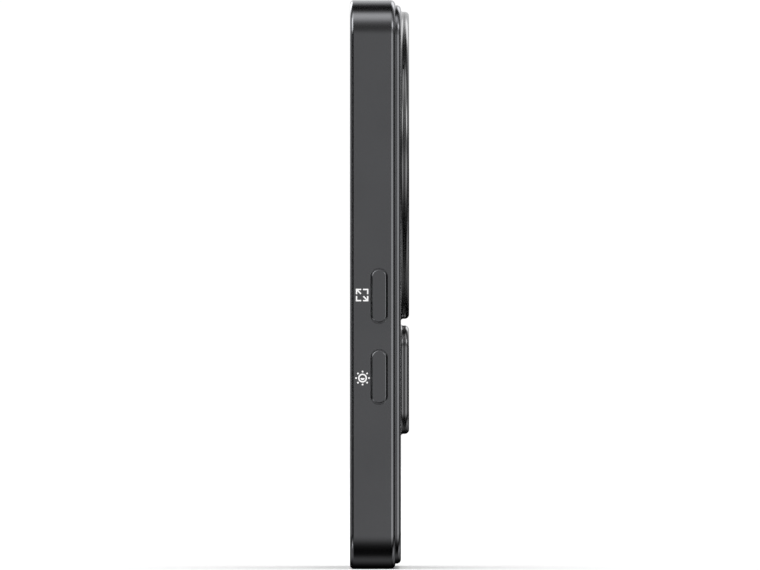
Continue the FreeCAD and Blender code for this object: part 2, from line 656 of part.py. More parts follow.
def chips():
    wirelessX = "canX + canWidth / 2 + wirelessWide / 2 + wirelessGap"
    return [
        chip("processor", "processorWide", "processorWide", "processorHigh",
             "canX - canWidth / 2 + processorWide / 2 + chipEdge", "canRise"),
        chip("memory_chip", "memoryWide", "memoryTall", "memoryHigh",
             "canX + canWidth / 2 - memoryWide / 2 - chipEdge", "canRise"),
        chip("wireless_chip", "wirelessWide", "wirelessWide", "wirelessHigh", wirelessX,
             "canRise + wirelessLift"),
        chip("power_chip", "powerChipWide", "powerChipWide", "powerChipHigh",
             "-boardWidth / 2 + powerChipWide / 2 + powerChipIn", "boardRise + chipRow"),
        chip("antenna_chip", "antennaWide", "antennaTall", "antennaHigh", wirelessX,
             f"{boardTop} - antennaTall"),
    ]


def coils():
    spots = ["-boardWidth / 2 + coilIn", "boardWidth / 2 - coilEdge - coilPitch", "boardWidth / 2 - coilEdge"]
    items = []
    for x in spots:
        core = block("core", "coilWide", "coilHigh / 2", "coilWide", x, partsDeep, "boardRise + chipRow")
        cap = rod("cap", "coilCap", "coilHigh", x, partsDeep, "boardRise + chipRow", toBack)
        items.append(joined("coil", [core, cap]))
    return group("coils", items)


def capacitors():
    items = []
    for rise in ("boardRise + capacitorTop", "boardRise + capacitorLow"):
        for step in range(int(sheet.capacitorCount)):
            x = f"-boardWidth / 2 + capacitorIn + {step} * capacitorPitch"
            items.append(block("capacitor", "capacitorWide", "capacitorTall", "capacitorTall", x,
                               partsDeep, rise))
    return group("capacitors", items)


def keyFlexSpots():
    return [(1, "rightFlexRise"), (-1, "leftFlexRise")]


def flexConnectors():
    # The display's connector faces the chassis window; the keys' ones are on the back.
    display = block("connector", "displayPlugWidth", "displayPlugHigh", "displayPlugTall", "0",
                    f"{boardDeep} - displayPlugHigh", "displayPlugRise")
    slot = block("slot", "displayPlugWidth - displayPlugEnd", "2 * flexThick", "displayPlugTall", "0",
                 f"{boardDeep} - displayPlugHigh / 2 - flexThick", "displayPlugRise - plugBack")
    items = [without("displayConnector", display, slot)]
    for side, rise in keyFlexSpots():
        x = f"{side} * (boardWidth / 2 - keyPlugWide / 2 - plugEdge)"
        box = block("connector", "keyPlugWide", "keyPlugHigh", "keyPlugTall", x, partsDeep, rise)
        gap = block("slot", "keyPlugWide", "2 * flexThick", "(keyPlugTall + flexWide) / 2",
                    f"{x} + {side} * plugBack", f"{partsDeep} + keyPlugHigh / 2 - flexThick", rise)
        items.append(without("keyConnector", box, gap))
    return group("flex_connectors", items)


# ---- Battery

def batteryCell():
    middle = "batteryRise + batteryHeight / 2"
    cell = plate("battery_cell", [rectangle("batteryWidth", "batteryHeight")], "batteryThick", "0",
                 batteryDeep, middle)
    side = number("batteryWidth") / 2
    blend(cell, "batteryRound",
          lambda edge: edge.BoundBox.ZLength > 1 and abs(abs(edge.BoundBox.Center.x) - side) < 1e-4)
    return cell


def batteryTape():
    return block("battery_tape", "batteryWidth - 2 * batteryTapeIn", "batteryTapeThick",
                 "batteryHeight - 2 * batteryTapeIn", "0", bayDeep, "batteryRise + batteryHeight / 2")


circuitDeep = f"{partsDeep} + headerHigh / 2 - circuitThick / 2"


def batteryCircuit():
    return block("battery_circuit", "batteryWidth - 2 * circuitIn", "circuitThick", "circuitHeight", "0",
                 circuitDeep, "batteryRise - circuitHeight / 2")


headerRise = f"{boardTop} - headerTall / 2 - headerEdge"


def batteryHeader():
    shell = block("headerShell", "headerWidth", "headerHigh", "headerTall", "headerX", partsDeep, headerRise)
    mouth = block("headerMouth", "headerWidth - 2 * headerWall", "headerHigh - 2 * headerWall",
                  "headerTall", "headerX", f"{partsDeep} + headerWall", f"{headerRise} + headerWall")
    return without("battery_header", shell, mouth)


def batteryPlug():
    return block("battery_plug", "headerWidth - 2 * (headerWall + plugGap)",
                 "headerHigh - 2 * (headerWall + plugGap)", "headerTall - headerWall - plugGap",
                 "headerX", f"{partsDeep} + headerWall + plugGap",
                 f"{headerRise} + headerWall / 2 + plugGap / 2")


def batteryLead(label, lane, first):
    # The leads run side by side in the gap between the board and the battery.
    y = number(f"{front} + {partsDeep} + headerHigh / 2")
    top = number("batteryRise - circuitHeight")
    end = number(f"{headerRise} + headerTall / 2")
    gapMiddle = (top + end) / 2
    pitch = number("leadPitch")
    run = gapMiddle + (lane - 0.5) * pitch
    points = [Vector(number("leadStart") + first * pitch, y, top),
              Vector(number("leadStart") + first * pitch, y, run),
              Vector(number("headerX") + (0.5 - lane) * pitch, y, run),
              Vector(number("headerX") + (0.5 - lane) * pitch, y, end)]
    path = route(points, number("leadBend"))
    ring = Part.Wire(Part.Circle(points[0], Vector(0, 0, 1), number("leadRadius")).toShape())
    return swept(label, path, ring)


# ---- Charging socket

def socketShell():
    shell = newBody("socket_shell")
    pad(shell, "XY_Plane", [roundRect("socketWidth", "socketTall", "socketCorner")], "socketLong")
    pocket(shell, "XY_Plane", [roundRect("socketWidth - 2 * socketSheet", "socketTall - 2 * socketSheet",
                                         "socketCorner - socketSheet")], "socketLong - socketSheet")
    return place(shell, "0", "socketDepth", "socketInset")


def socketTongue():
    tongue = newBody("socket_tongue")
    pad(tongue, "XY_Plane", [roundRect("socketWidth - 2 * (socketSheet + pipeGap)",
                                       "socketTall - 2 * (socketSheet + pipeGap)",
                                       "socketCorner - socketSheet - pipeGap")], "tongueBase")
    pad(tongue, "XY_Plane", [roundRect("tongueWidth", "tongueThick", "tongueCorner")], "tongueLong",
        towards=-1)
    return place(tongue, "0", "socketDepth", "socketInset + socketLong - socketSheet - tongueBase")


def lightPipe():
    return rod("light_pipe", "pipeRadius", "boardRise - 2 * pipeInset", "pipeX", "pipeDepth",
               "pipeInset", upward)


def chargeLight():
    return block("charge_light", "lightWide", "lightWide / 2", "lightWide / 2", "pipeX", partsDeep,
                 "boardRise + lightEdge + lightWide / 4")


# ---- Side keys

def sideKey(label, side, rise):
    # Modelled on the wall's outer face and looking along +X; the left key is turned half round.
    key = newBody(f"{label}_key")
    cap = pill("keySlotWide - 2 * keyGap", "keySlotLong - 2 * keyGap")
    pad(key, "YZ_Plane", [cap], "frameWall + keyStop + keyProud", x="-frameWall - keyStop")
    proud = number("keyProud")
    blend(key, "keyRound", lambda edge: edge.BoundBox.XMin > proud - 1e-4)
    flange = pill("keySlotWide - 2 * keyGap", "keySlotLong + 2 * flangeEar")
    pad(key, "YZ_Plane", [flange], "flangeThick", x="-frameWall - keyStop - flangeThick")
    pad(key, "YZ_Plane", [circle("nubRadius")], "nubLong + flangeThick / 2",
        x="-frameWall - keyStop - flangeThick - nubLong")
    if side < 0:
        key.Placement = Placement(Vector(), Rotation(Vector(0, 0, 1), 180))
    return place(key, f"{side} * bodyWidth / 2", "keyDepth", rise)


def plunger(label, side, rise):
    return rod(f"{label}_plunger", "plungerRadius", "plungerLong", f"{side} * ({nubTip})", "keyDepth",
               rise, toLeft if side > 0 else toRight)


def switches():
    items = []
    for label, side, rise in keySlots():
        case = block("case", "switchHigh", "switchDeep", "switchTall",
                     f"{side} * ({switchTop} - switchHigh / 2)", "keyDepth - switchDeep / 2", rise)
        well = rod("well", "plungerRadius + plungerGap", wellDeep, f"{side} * ({switchTop})", "keyDepth",
                   rise, toLeft if side > 0 else toRight)
        items.append(without("switch", case, well))
    return group("key_switches", items)


def domes():
    # A snap dome lies on the floor of each switch's well.
    items = []
    for label, side, rise in keySlots():
        dome = doc.addObject("Part::Cone", "Dome")
        dome.Placement = Placement(Vector(), toRight if side > 0 else toLeft)
        bind(dome, "Radius1", "plungerRadius")
        bind(dome, "Radius2", "plungerRadius / 2")
        bind(dome, "Height", "domeHigh")
        items.append(place(dome, f"{side} * ({switchTop} - ({wellDeep}))", "keyDepth", rise))
    return group("switch_domes", items)


def keyBoardSpans():
    # Side, bottom and top of each upright key board, and the bottom of its bracket.
    rises = [(1, "rightFlexRise", "zoomRise"), (-1, "leftFlexRise", "powerRise")]
    return [(side, f"{flexRise} - flexWide / 2 - keyBoardEdge", f"{keyRise} + keyBoardEnd",
             f"{flexRise} + flexWide / 2 + bracketGap") for side, flexRise, keyRise in rises]


def keyBoards():
    return group("key_boards", [
        block("keyBoard", "keyBoardThick", "keyBoardDeep", f"{top} - ({bottom})",
              f"{side} * ({keyBoardFoot} + keyBoardThick / 2)", "keyDepth - keyBoardDeep / 2",
              f"({top} + {bottom}) / 2")
        for side, bottom, top, bracketBottom in keyBoardSpans()])


def keyBrackets():
    items = []
    for side, bottom, top, bracketBottom in keyBoardSpans():
        tall = f"{top} - ({bracketBottom})"
        middle = f"({top} + {bracketBottom}) / 2"
        upright = block("upright", "bracketThick", f"keyDepth + keyBoardDeep / 2 - ({bayDeep})", tall,
                        f"{side} * ({keyBoardFoot} - bracketThick / 2)", bayDeep, middle)
        foot = block("foot", "bracketFoot", "bracketThick", tall,
                     f"{side} * ({keyBoardFoot} - bracketFoot / 2)", bayDeep, middle)
        items.append(joined("bracket", [upright, foot]))
    return group("key_brackets", items)


def keyFlex(label, side, rise):
    # From the key board's inner face it turns inwards to the connector on the main board.
    x = number(f"{keyBoardFoot} - flexThick / 2")
    y = number(f"{front} + {partsDeep} + keyPlugHigh / 2")
    start = number(f"{front} + keyDepth - keyBoardDeep / 2 + flexEdge")
    z = number(rise)
    inner = number("boardWidth / 2 - plugEdge - keyPlugWide + 1.5 * plugBack")
    points = [Vector(side * x, start, z), Vector(side * x, y, z), Vector(side * inner, y, z)]
    profile = ribbonProfile(points[0], Vector(0, 0, 1), Vector(1, 0, 0), number("flexWide"),
                            number("flexThick"))
    return swept(label, route(points, number("flexBend")), profile)


# ---- Magnet ring and bar: a holder sunk into the cover, a steel yoke, magnets, a soft pad

def holder(label, outline, lip, channel, rise):
    # The lip is a chamfered foot that spreads on the cover's back face.
    body = newBody(label)
    pad(body, "XZ_Plane", lip, "ringFlare", y="ringSink")
    blend(body, "ringFlare - flareEdge", atDepth("ringSink + ringFlare"), kind="Chamfer")
    pad(body, "XZ_Plane", outline, "ringSink + ringBase")
    pocket(body, "XZ_Plane", channel, "ringSink + ringBase - holderFloor", y="holderFloor")
    return place(body, "0", holderDeep, rise)


def softPad(label, outline, channel, rise):
    body = plate(label, outline, "ringProud - ringBase", "0", padDeep, rise)
    reach = max(edge.BoundBox.XMax for edge in body.Shape.Edges)
    top = atDepth("ringProud - ringBase")
    blend(body, "padRound", lambda edge: top(edge) and outermost(edge, reach))
    if len(outline) > 1:
        blend(body, "padLip", lambda edge: top(edge) and not outermost(edge, reach - number("padRound")))
    pocket(body, "XZ_Plane", channel, "ringProud - ringBase - padTop")
    return body


def outermost(edge, reach):
    box = edge.BoundBox
    return max(abs(box.XMin), abs(box.XMax)) > reach - 0.01


def band(outerInset, innerInset):
    # A ring drawn as two circles, each inset from the full ring's edges.
    return [circle(f"ringRadius - ({outerInset})"), circle(f"ringRadius - ringWide + ({innerInset})")]


def barPill(inset):
    return [pill(f"barWidth - 2 * ({inset})", f"barLong - 2 * ({inset})")]


magnetInset = "holderWall + magnetGap"


def magnetRing():
    lip = [circle("ringRadius + ringFlare"), circle("ringRadius - ringWide")]
    yoke = plate("ring_yoke", band(magnetInset, magnetInset), "yokeThick", "0", yokeDeep, "ringRise")
    magnets = plate("ring_magnets", band(magnetInset, magnetInset), magnetThick, "0", magnetDeep, "ringRise")
    split = pocket(magnets, "XZ_Plane", [rectangle("magnetSplit", "2 * ringWide")], magnetThick,
                   z="ringRadius - ringWide / 2")
    pattern = magnets.newObject("PartDesign::PolarPattern", "Splits")
    pattern.Originals = [split]
    pattern.Axis = (originItem(magnets, "Y_Axis"), [""])
    pattern.Angle = 360
    bind(pattern, "Occurrences", "magnetCount")
    magnets.Tip = pattern
    return [holder("ring_holder", band("0", "0"), lip, band("holderWall", "holderWall"), "ringRise"),
            yoke, magnets, softPad("ring_pad", band("0", "0"), band("holderWall", "holderWall"), "ringRise")]


def magnetBar():
    return [holder("bar_holder", barPill("0"), barPill("-ringFlare"), barPill("holderWall"), "barRise"),
            plate("bar_yoke", barPill(magnetInset), "yokeThick", "0", yokeDeep, "barRise"),
            plate("bar_magnet", barPill(magnetInset), magnetThick, "0", magnetDeep, "barRise"),
            softPad("bar_pad", barPill("0"), barPill("holderWall"), "barRise")]


# ---- The whole monitor

def build():
    nodes = [mainFrame(), rearCover(), coverGlass(), glassTape(), opticalAdhesive(), polarisers(),
             displayCell(), backlightFilms(), backlightFrame(), backlightTray(), backlightLamps(),
             plate("light_guide", [rectangle(guideWidth, guideHeight)], "guideThick", "0", guideDeep,
                   guideRise),
             plate("reflector_sheet", [rectangle(guideWidth, guideHeight)], "reflectorThick", "0",
                   reflectorDeep, guideRise),
             block("display_driver", "driverWidth", "driverThick", "driverTall", "0",
                   f"{cellDeep} + cellThick / 2 - driverThick", f"{cellBottom} + driverLedge - driverTall"),
             displayFlex(),
             plate("panel_foam", [roundRect("panelWidth - 2 * foamSide", foamHeight, "foamCorner")],
                   "foamThick", "0", foamDeep, f"panelRise + foamLow + ({foamHeight}) / 2"),
             chassisPlate(), chassisScrews(), mainBoard(), boardScrews(), shieldCan(), coils(),
             capacitors(), flexConnectors(), batteryCell(), batteryTape(), batteryCircuit(),
             batteryHeader(), batteryPlug(), batteryLead("battery_lead_red", 0, 1),
             batteryLead("battery_lead_black", 1, 0), socketShell(), socketTongue(), lightPipe(),
             chargeLight(), switches(), domes(), keyBoards(), keyBrackets()]
    nodes += chips()
    nodes += [keyFlex(label, side, rise) for label, (side, rise)
              in zip(("right_key_flex", "left_key_flex"), keyFlexSpots())]
    for label, side, rise in keySlots():
        nodes += [sideKey(label, side, rise), plunger(label, side, rise)]
    return nodes + magnetRing() + magnetBar()


nodes = build()
doc.recompute()
for item in doc.Objects:
    if "Invalid" in item.State or "Error" in item.State:
        raise RuntimeError(f"{item.Label}: {item.State}")
for node in nodes:
    if node.Shape.isNull() or not node.Shape.isValid():
        raise RuntimeError(f"{node.Label}: no valid shape")
os.makedirs("parts", exist_ok=True)
for node in nodes:
    node.Shape.exportStep(f"parts/{node.Label}.step")
print(len(nodes), "nodes")
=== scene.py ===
import json
import math

import bmesh
import bpy
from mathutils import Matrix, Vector


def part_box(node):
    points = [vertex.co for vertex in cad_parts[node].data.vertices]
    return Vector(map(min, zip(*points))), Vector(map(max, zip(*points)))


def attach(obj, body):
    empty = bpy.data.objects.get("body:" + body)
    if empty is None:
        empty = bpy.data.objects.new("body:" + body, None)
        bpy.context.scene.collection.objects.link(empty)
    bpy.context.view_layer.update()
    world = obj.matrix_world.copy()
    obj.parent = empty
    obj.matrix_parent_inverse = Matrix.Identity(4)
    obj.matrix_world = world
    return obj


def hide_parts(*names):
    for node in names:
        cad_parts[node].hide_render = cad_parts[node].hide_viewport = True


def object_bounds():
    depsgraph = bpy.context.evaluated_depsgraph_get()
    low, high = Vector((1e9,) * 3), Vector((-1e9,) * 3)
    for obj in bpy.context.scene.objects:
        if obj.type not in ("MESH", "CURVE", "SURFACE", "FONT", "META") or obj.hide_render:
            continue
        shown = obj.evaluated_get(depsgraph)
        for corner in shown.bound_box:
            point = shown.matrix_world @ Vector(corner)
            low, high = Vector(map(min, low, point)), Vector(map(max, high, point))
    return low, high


# Looks for a magnetic phone monitor. Metres, Z up; the screen looks along -Y and the ring along +Y.
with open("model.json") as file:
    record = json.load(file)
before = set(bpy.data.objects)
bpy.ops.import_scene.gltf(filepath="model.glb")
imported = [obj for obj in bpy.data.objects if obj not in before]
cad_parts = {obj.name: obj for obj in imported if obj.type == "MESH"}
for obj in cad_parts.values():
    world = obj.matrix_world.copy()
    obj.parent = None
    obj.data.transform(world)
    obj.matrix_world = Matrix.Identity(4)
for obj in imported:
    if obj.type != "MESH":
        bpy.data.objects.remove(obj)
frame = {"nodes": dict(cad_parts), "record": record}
cadLow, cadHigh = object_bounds()
mm = 0.001
print("frame loaded:", len(frame["nodes"]), "nodes")


# One socket of a shader tree; sums on it add Math nodes
class Shade:
    def __init__(self, tree, socket=None):
        self.tree = tree
        self.socket = socket

    def node(self, kind, settings=None, sockets=None, output=0):
        made = self.tree.nodes.new(kind)
        for name, setting in (settings or {}).items():
            if name == "stops":
                self.setStops(made.color_ramp, setting)
            else:
                setattr(made, name, setting)
        for name, value in (sockets or {}).items():
            if isinstance(value, Shade):
                self.tree.links.new(value.socket, made.inputs[name])
            else:
                made.inputs[name].default_value = value
        return Shade(self.tree, made.outputs[output])

    def setStops(self, ramp, stops):
        while len(ramp.elements) < len(stops):
            ramp.elements.new(1.0)
        for element, (place, level) in zip(ramp.elements, stops):
            element.position = place
            element.color = (*level, 1) if isinstance(level, tuple) else (level, level, level, 1)

    def sum(self, operation, first, second=0.0):
        return self.node("ShaderNodeMath", {"operation": operation}, {0: first, 1: second})

    def __add__(self, other):
        return self.sum("ADD", self, other)

    def __sub__(self, other):
        return self.sum("SUBTRACT", self, other)

    def __rsub__(self, other):
        return self.sum("SUBTRACT", other, self)

    def __mul__(self, other):
        return self.sum("MULTIPLY", self, other)

    def __truediv__(self, other):
        return self.sum("DIVIDE", self, other)

    def __abs__(self):
        return self.sum("ABSOLUTE", self)

    __radd__ = __add__
    __rmul__ = __mul__

    def fraction(self):
        return self.sum("FRACT", self)

    def root(self):
        return self.sum("SQRT", self)

    def least(self, other):
        return self.sum("MINIMUM", self, other)

    def most(self, other):
        return self.sum("MAXIMUM", self, other)

    # 0 below low, 1 above high, smooth between
    def step(self, low, high):
        settings = {"interpolation_type": "SMOOTHSTEP"}
        return self.node("ShaderNodeMapRange", settings, {"Value": self, "From Min": low, "From Max": high})

    # Blends two colours, with this socket as the share of the second
    def blend(self, first, second):
        settings = {"data_type": "RGBA"}
        return self.node("ShaderNodeMix", settings, {0: self, 6: fourOf(first), 7: fourOf(second)}, 2)


def fourOf(colour):
    return colour if isinstance(colour, Shade) else (*colour, 1)


# A finish's shader tree: its surface, its coordinates and the patterns made on them
class Finish:
    def __init__(self, slotName, **fixed):
        self.material = bpy.data.materials.new("look_" + slotName)
        self.material.use_nodes = True
        tree = self.material.node_tree
        tree.nodes.clear()
        self.surface = tree.nodes.new("ShaderNodeBsdfPrincipled")
        output = tree.nodes.new("ShaderNodeOutputMaterial")
        tree.links.new(self.surface.outputs[0], output.inputs[0])
        self.maker = Shade(tree)
        self.place = self.maker.node("ShaderNodeTexCoord", output=3)
        for name, value in fixed.items():
            self.surface.inputs[name.replace("_", " ")].default_value = value

    def feed(self, name, value):
        if isinstance(value, Shade):
            self.maker.tree.links.new(value.socket, self.surface.inputs[name])
        else:
            self.surface.inputs[name].default_value = fourOf(value) if isinstance(value, tuple) else value

    def axis(self, index):
        return self.maker.node("ShaderNodeSeparateXYZ", None, {0: self.place}, index)

    # The place with each axis scaled, for grain that runs along one of them
    def stretched(self, x, y, z):
        return self.maker.node("ShaderNodeMapping", None, {"Vector": self.place, "Scale": (x, y, z)})

    def noise(self, size, detail=2.0, roughness=0.5, place=None):
        sockets = {"Vector": place or self.place, "Scale": 1 / size, "Detail": detail, "Roughness": roughness}
        return self.maker.node("ShaderNodeTexNoise", None, sockets)

    def cells(self, size):
        return self.maker.node("ShaderNodeTexVoronoi", None, {"Vector": self.place, "Scale": 1 / size})

    def bump(self, height, depth):
        sockets = {"Strength": 1.0, "Distance": depth, "Height": height}
        self.feed("Normal", self.maker.node("ShaderNodeBump", None, sockets))


finishes = {}


def keep(slotName, finish):
    finishes[slotName] = finish.material


# The casing: one dark satin lacquer over every outside part

casing = {"colour": (0.243, 0.245, 0.254), "metal": 1.0, "roughness": 0.2, "grain": 0.12 * mm,
          "grainDepth": 0.0007 * mm, "wear": 0.02, "cloud": 14 * mm, "shade": 0.93}


def casingFinish(slotName, colour, roughness):
    finish = Finish(slotName, Metallic=casing["metal"])
    grain = finish.noise(casing["grain"], 2)
    cloud = finish.noise(casing["cloud"], 3)
    darker = tuple(casing["shade"] * part for part in colour)
    finish.feed("Base Color", cloud.step(0.3, 0.7).blend(darker, colour))
    finish.feed("Roughness", roughness + (grain - 0.5) * 0.05 + (cloud - 0.5) * casing["wear"])
    finish.bump(grain, casing["grainDepth"])
    keep(slotName, finish)


casingFinish("casing_shell", casing["colour"], casing["roughness"])
casingFinish("rear_shell", casing["colour"], casing["roughness"])


ring = {"gloss": (0.004, 0.004, 0.0042), "glossPale": (0.006, 0.006, 0.0063), "glossRoughness": 0.11,
        "pad": (0.0055, 0.0055, 0.006), "padPale": (0.009, 0.009, 0.0095), "padRoughness": 0.1,
        "padDepth": 0.0008 * mm, "index": 2.6}


def glossBlack():
    finish = Finish("gloss_black", IOR=ring["index"])
    finish.feed("Base Color", finish.noise(3 * mm).blend(ring["gloss"], ring["glossPale"]))
    finish.feed("Roughness", ring["glossRoughness"] + finish.noise(0.8 * mm, 4) * 0.05)
    finish.bump(finish.noise(2.5 * mm), 0.002 * mm)
    keep("gloss_black", finish)


def softPad():
    finish = Finish("soft_pad", IOR=ring["index"])
    skin = finish.noise(0.09 * mm, 3)
    smear = finish.noise(6 * mm, 4, 0.6)
    finish.feed("Base Color", smear.step(0.35, 0.75).blend(ring["pad"], ring["padPale"]))
    finish.feed("Roughness", ring["padRoughness"] + smear * 0.1 + skin * 0.06)
    finish.bump(skin, ring["padDepth"])
    keep("soft_pad", finish)


glossBlack()
softPad()


# The screen: glass with a dark picture area behind it

screen = {"border": (0.0025, 0.0025, 0.0028), "dark": (0.006, 0.0066, 0.0085),
          "width": 51.84 * mm, "height": 86.4 * mm, "corner": 1.5 * mm, "bottomEdge": 8.35 * mm}


def screenGlass():
    # A black border printed behind the glass, and the dark display inside it
    finish = Finish("screen_glass", Specular_IOR_Level=0.55, Coat_Weight=0.6, Coat_Roughness=0.02)
    middle = screen["bottomEdge"] + screen["height"] / 2
    across = abs(finish.axis(0)) - (screen["width"] / 2 - screen["corner"])
    along = abs(finish.axis(2) - middle) - (screen["height"] / 2 - screen["corner"])
    outX = across.most(0.0)
    outZ = along.most(0.0)
    reach = (outX * outX + outZ * outZ).root() + across.most(along).least(0.0)
    lit = 1 - (reach - screen["corner"]).step(-0.03 * mm, 0.03 * mm)
    smear = finish.noise(17 * mm, 5, 0.65)
    finish.feed("Base Color", lit.blend(screen["border"], screen["dark"]))
    finish.feed("Roughness", 0.03 + smear.step(0.45, 0.8) * 0.05 + lit * 0.02)
    keep("screen_glass", finish)


screenGlass()


# The parts inside, each with its own finish

def moulded(slotName, colour, roughness, grain=0.15 * mm, depth=0.004 * mm, specular=0.5):
    # Moulded plastic: a fine skin, with slow flow marks
    finish = Finish(slotName, Specular_IOR_Level=specular)
    skin = finish.noise(grain, 3)
    flow = finish.noise(5 * mm, 2)
    paler = tuple(min(1.0, 1.12 * part + 0.004) for part in colour)
    finish.feed("Base Color", flow.step(0.25, 0.8).blend(colour, paler))
    finish.feed("Roughness", roughness - 0.05 + skin * 0.1)
    finish.bump(skin, depth)
    keep(slotName, finish)


def steel(slotName, colour, roughness, run=(1, 1, 30)):
    # Rolled metal: fine lines along the way that run squeezes least
    finish = Finish(slotName, Metallic=1.0)
    lines = finish.noise(0.9 * mm, 4, 0.6, finish.stretched(*run))
    spots = finish.noise(4 * mm, 3)
    darker = tuple(0.8 * part for part in colour)
    finish.feed("Base Color", lines.step(0.25, 0.75).blend(darker, colour))
    finish.feed("Roughness", roughness + (lines - 0.5) * 0.16 + spots * 0.06)
    finish.bump(lines, 0.003 * mm)
    keep(slotName, finish)


def film(slotName, colour, roughness):
    # Thin sheet: nearly even, with slight waves
    finish = Finish(slotName, Specular_IOR_Level=0.5)
    waves = finish.noise(9 * mm, 2)
    specks = finish.noise(0.12 * mm, 2)
    darker = tuple(0.86 * part for part in colour)
    finish.feed("Base Color", waves.step(0.2, 0.8).blend(darker, colour))
    finish.feed("Roughness", roughness + (specks - 0.5) * 0.08)
    finish.bump(waves + specks * 0.02, 0.02 * mm)
    keep(slotName, finish)


def clear(slotName, colour, roughness, through):
    finish = Finish(slotName, Transmission_Weight=through, IOR=1.49)
    haze = finish.noise(3 * mm, 3)
    finish.feed("Base Color", haze.blend(tuple(0.92 * part for part in colour), colour))
    finish.feed("Roughness", roughness + haze * 0.06)
    keep(slotName, finish)


def circuitBoard():
    # Green mask over copper tracks: slightly raised lines on a square pitch, and small plated holes
    finish = Finish("circuit_board", Specular_IOR_Level=0.5, Coat_Weight=0.25, Coat_Roughness=0.2)
    pitch = 0.8 * mm
    route = finish.noise(4 * mm, 1)
    upright = abs((finish.axis(0) / pitch).fraction() - 0.5)
    level = abs((finish.axis(2) / pitch).fraction() - 0.5)
    choice = route.step(0.49, 0.51)
    track = 1 - (choice * upright + (1 - choice) * level).step(0.12, 0.18)
    hole = 1 - finish.cells(1.9 * mm).step(0.1, 0.13)
    weave = finish.noise(0.25 * mm, 2)
    mask = track.blend((0.012, 0.075, 0.036), (0.02, 0.13, 0.06))
    finish.feed("Base Color", hole.blend(mask, (0.7, 0.52, 0.2)))
    finish.feed("Metallic", hole)
    finish.feed("Roughness", 0.34 - track * 0.06 + weave * 0.06)
    finish.bump(track + weave * 0.08, 0.02 * mm)
    keep("circuit_board", finish)


def flexFilm():
    # Amber film with fine copper tracks along its length
    finish = Finish("flex_film", Specular_IOR_Level=0.5)
    pitch = 0.5 * mm
    tracks = abs((finish.axis(0) / pitch).fraction() - 0.5).step(0.16, 0.22)
    waves = finish.noise(3 * mm, 2)
    amber = waves.blend((0.36, 0.15, 0.03), (0.48, 0.22, 0.05))
    finish.feed("Base Color", (1 - tracks).blend(amber, (0.5, 0.19, 0.06)))
    finish.feed("Roughness", 0.28 + waves * 0.1)
    finish.bump(tracks, 0.006 * mm)
    keep("flex_film", finish)


def chipPlastic():
    # Black package: sandy top, a polished dot in places where the mould's pins were
    finish = Finish("chip_plastic", Specular_IOR_Level=0.45)
    sand = finish.noise(0.06 * mm, 3)
    pin = 1 - finish.cells(5.5 * mm).step(0.07, 0.08)
    finish.feed("Base Color", sand.blend((0.013, 0.013, 0.014), (0.027, 0.027, 0.029)))
    finish.feed("Roughness", 0.62 - pin * 0.35)
    finish.bump(sand - pin * 0.6, 0.008 * mm)
    keep("chip_plastic", finish)


def pouchFoil():
    # Laminated foil: soft creases and a faint cross grain
    finish = Finish("battery_pouch", Metallic=0.85)
    crease = finish.noise(7 * mm, 5, 0.62)
    grain = finish.noise(0.4 * mm, 2, 0.5, finish.stretched(1, 1, 6))
    finish.feed("Base Color", crease.step(0.3, 0.7).blend((0.5, 0.51, 0.53), (0.66, 0.67, 0.69)))
    finish.feed("Roughness", 0.33 + grain * 0.1)
    finish.bump(crease + grain * 0.05, 0.12 * mm)
    keep("battery_pouch", finish)


def foam(slotName, colour):
    finish = Finish(slotName, Specular_IOR_Level=0.2, Sheen_Weight=0.2, Sheen_Roughness=0.6)
    # The foam's cells: real pits in the bump, and painted shade in the colour, darkest at each pit's middle
    poresAndShade = finish.cells(0.22 * mm)
    patches = finish.noise(2 * mm, 3)
    # Painted shade in the pores: the colour falls to 0.4 of the foam's own colour where the bump makes a pit
    finish.feed("Base Color", (poresAndShade * 1.4).blend(tuple(0.4 * part for part in colour), colour))
    finish.feed("Roughness", 0.85 + patches * 0.1)
    finish.bump(poresAndShade, 0.05 * mm)
    keep(slotName, finish)


def ceramicPart():
    finish = Finish("ceramic_part", Specular_IOR_Level=0.5)
    speck = finish.noise(0.1 * mm, 4)
    finish.feed("Base Color", speck.blend((0.4, 0.29, 0.18), (0.56, 0.43, 0.29)))
    finish.feed("Roughness", 0.4 + speck * 0.15)
    finish.bump(speck, 0.006 * mm)
    keep("ceramic_part", finish)


def insideFinishes():
    moulded("white_plastic", (0.78, 0.78, 0.77), 0.42)
    moulded("lamp_plastic", (0.86, 0.78, 0.4), 0.35)
    moulded("connector_plastic", (0.72, 0.69, 0.6), 0.45)
    moulded("black_plastic", (0.014, 0.014, 0.015), 0.4)
    moulded("ferrite", (0.05, 0.05, 0.055), 0.6, grain=0.08 * mm, depth=0.012 * mm)
    moulded("red_sleeve", (0.5, 0.02, 0.015), 0.4, specular=0.4)
    moulded("black_sleeve", (0.015, 0.015, 0.015), 0.4, specular=0.4)
    steel("thin_steel", (0.56, 0.56, 0.57), 0.3)
    steel("screw_steel", (0.24, 0.24, 0.25), 0.35, run=(1, 1, 1))
    steel("tinned_steel", (0.7, 0.7, 0.68), 0.28, run=(12, 1, 1))
    steel("socket_steel", (0.62, 0.62, 0.63), 0.24, run=(6, 6, 1))
    steel("dome_steel", (0.74, 0.74, 0.75), 0.15, run=(1, 1, 1))
    steel("magnet_plating", (0.68, 0.68, 0.69), 0.12, run=(1, 1, 1))
    film("polariser_film", (0.045, 0.047, 0.052), 0.12)
    film("clear_film", (0.74, 0.75, 0.76), 0.35)
    film("bonding_tape", (0.02, 0.02, 0.021), 0.6)
    clear("clear_adhesive", (0.95, 0.96, 0.96), 0.05, 0.9)
    clear("clear_plastic", (0.93, 0.95, 0.97), 0.04, 0.9)
    clear("cell_glass", (0.12, 0.14, 0.16), 0.04, 0.3)
    foam("soft_foam", (0.035, 0.035, 0.037))
    circuitBoard()
    flexFilm()
    chipPlastic()
    pouchFoil()
    ceramicPart()


insideFinishes()


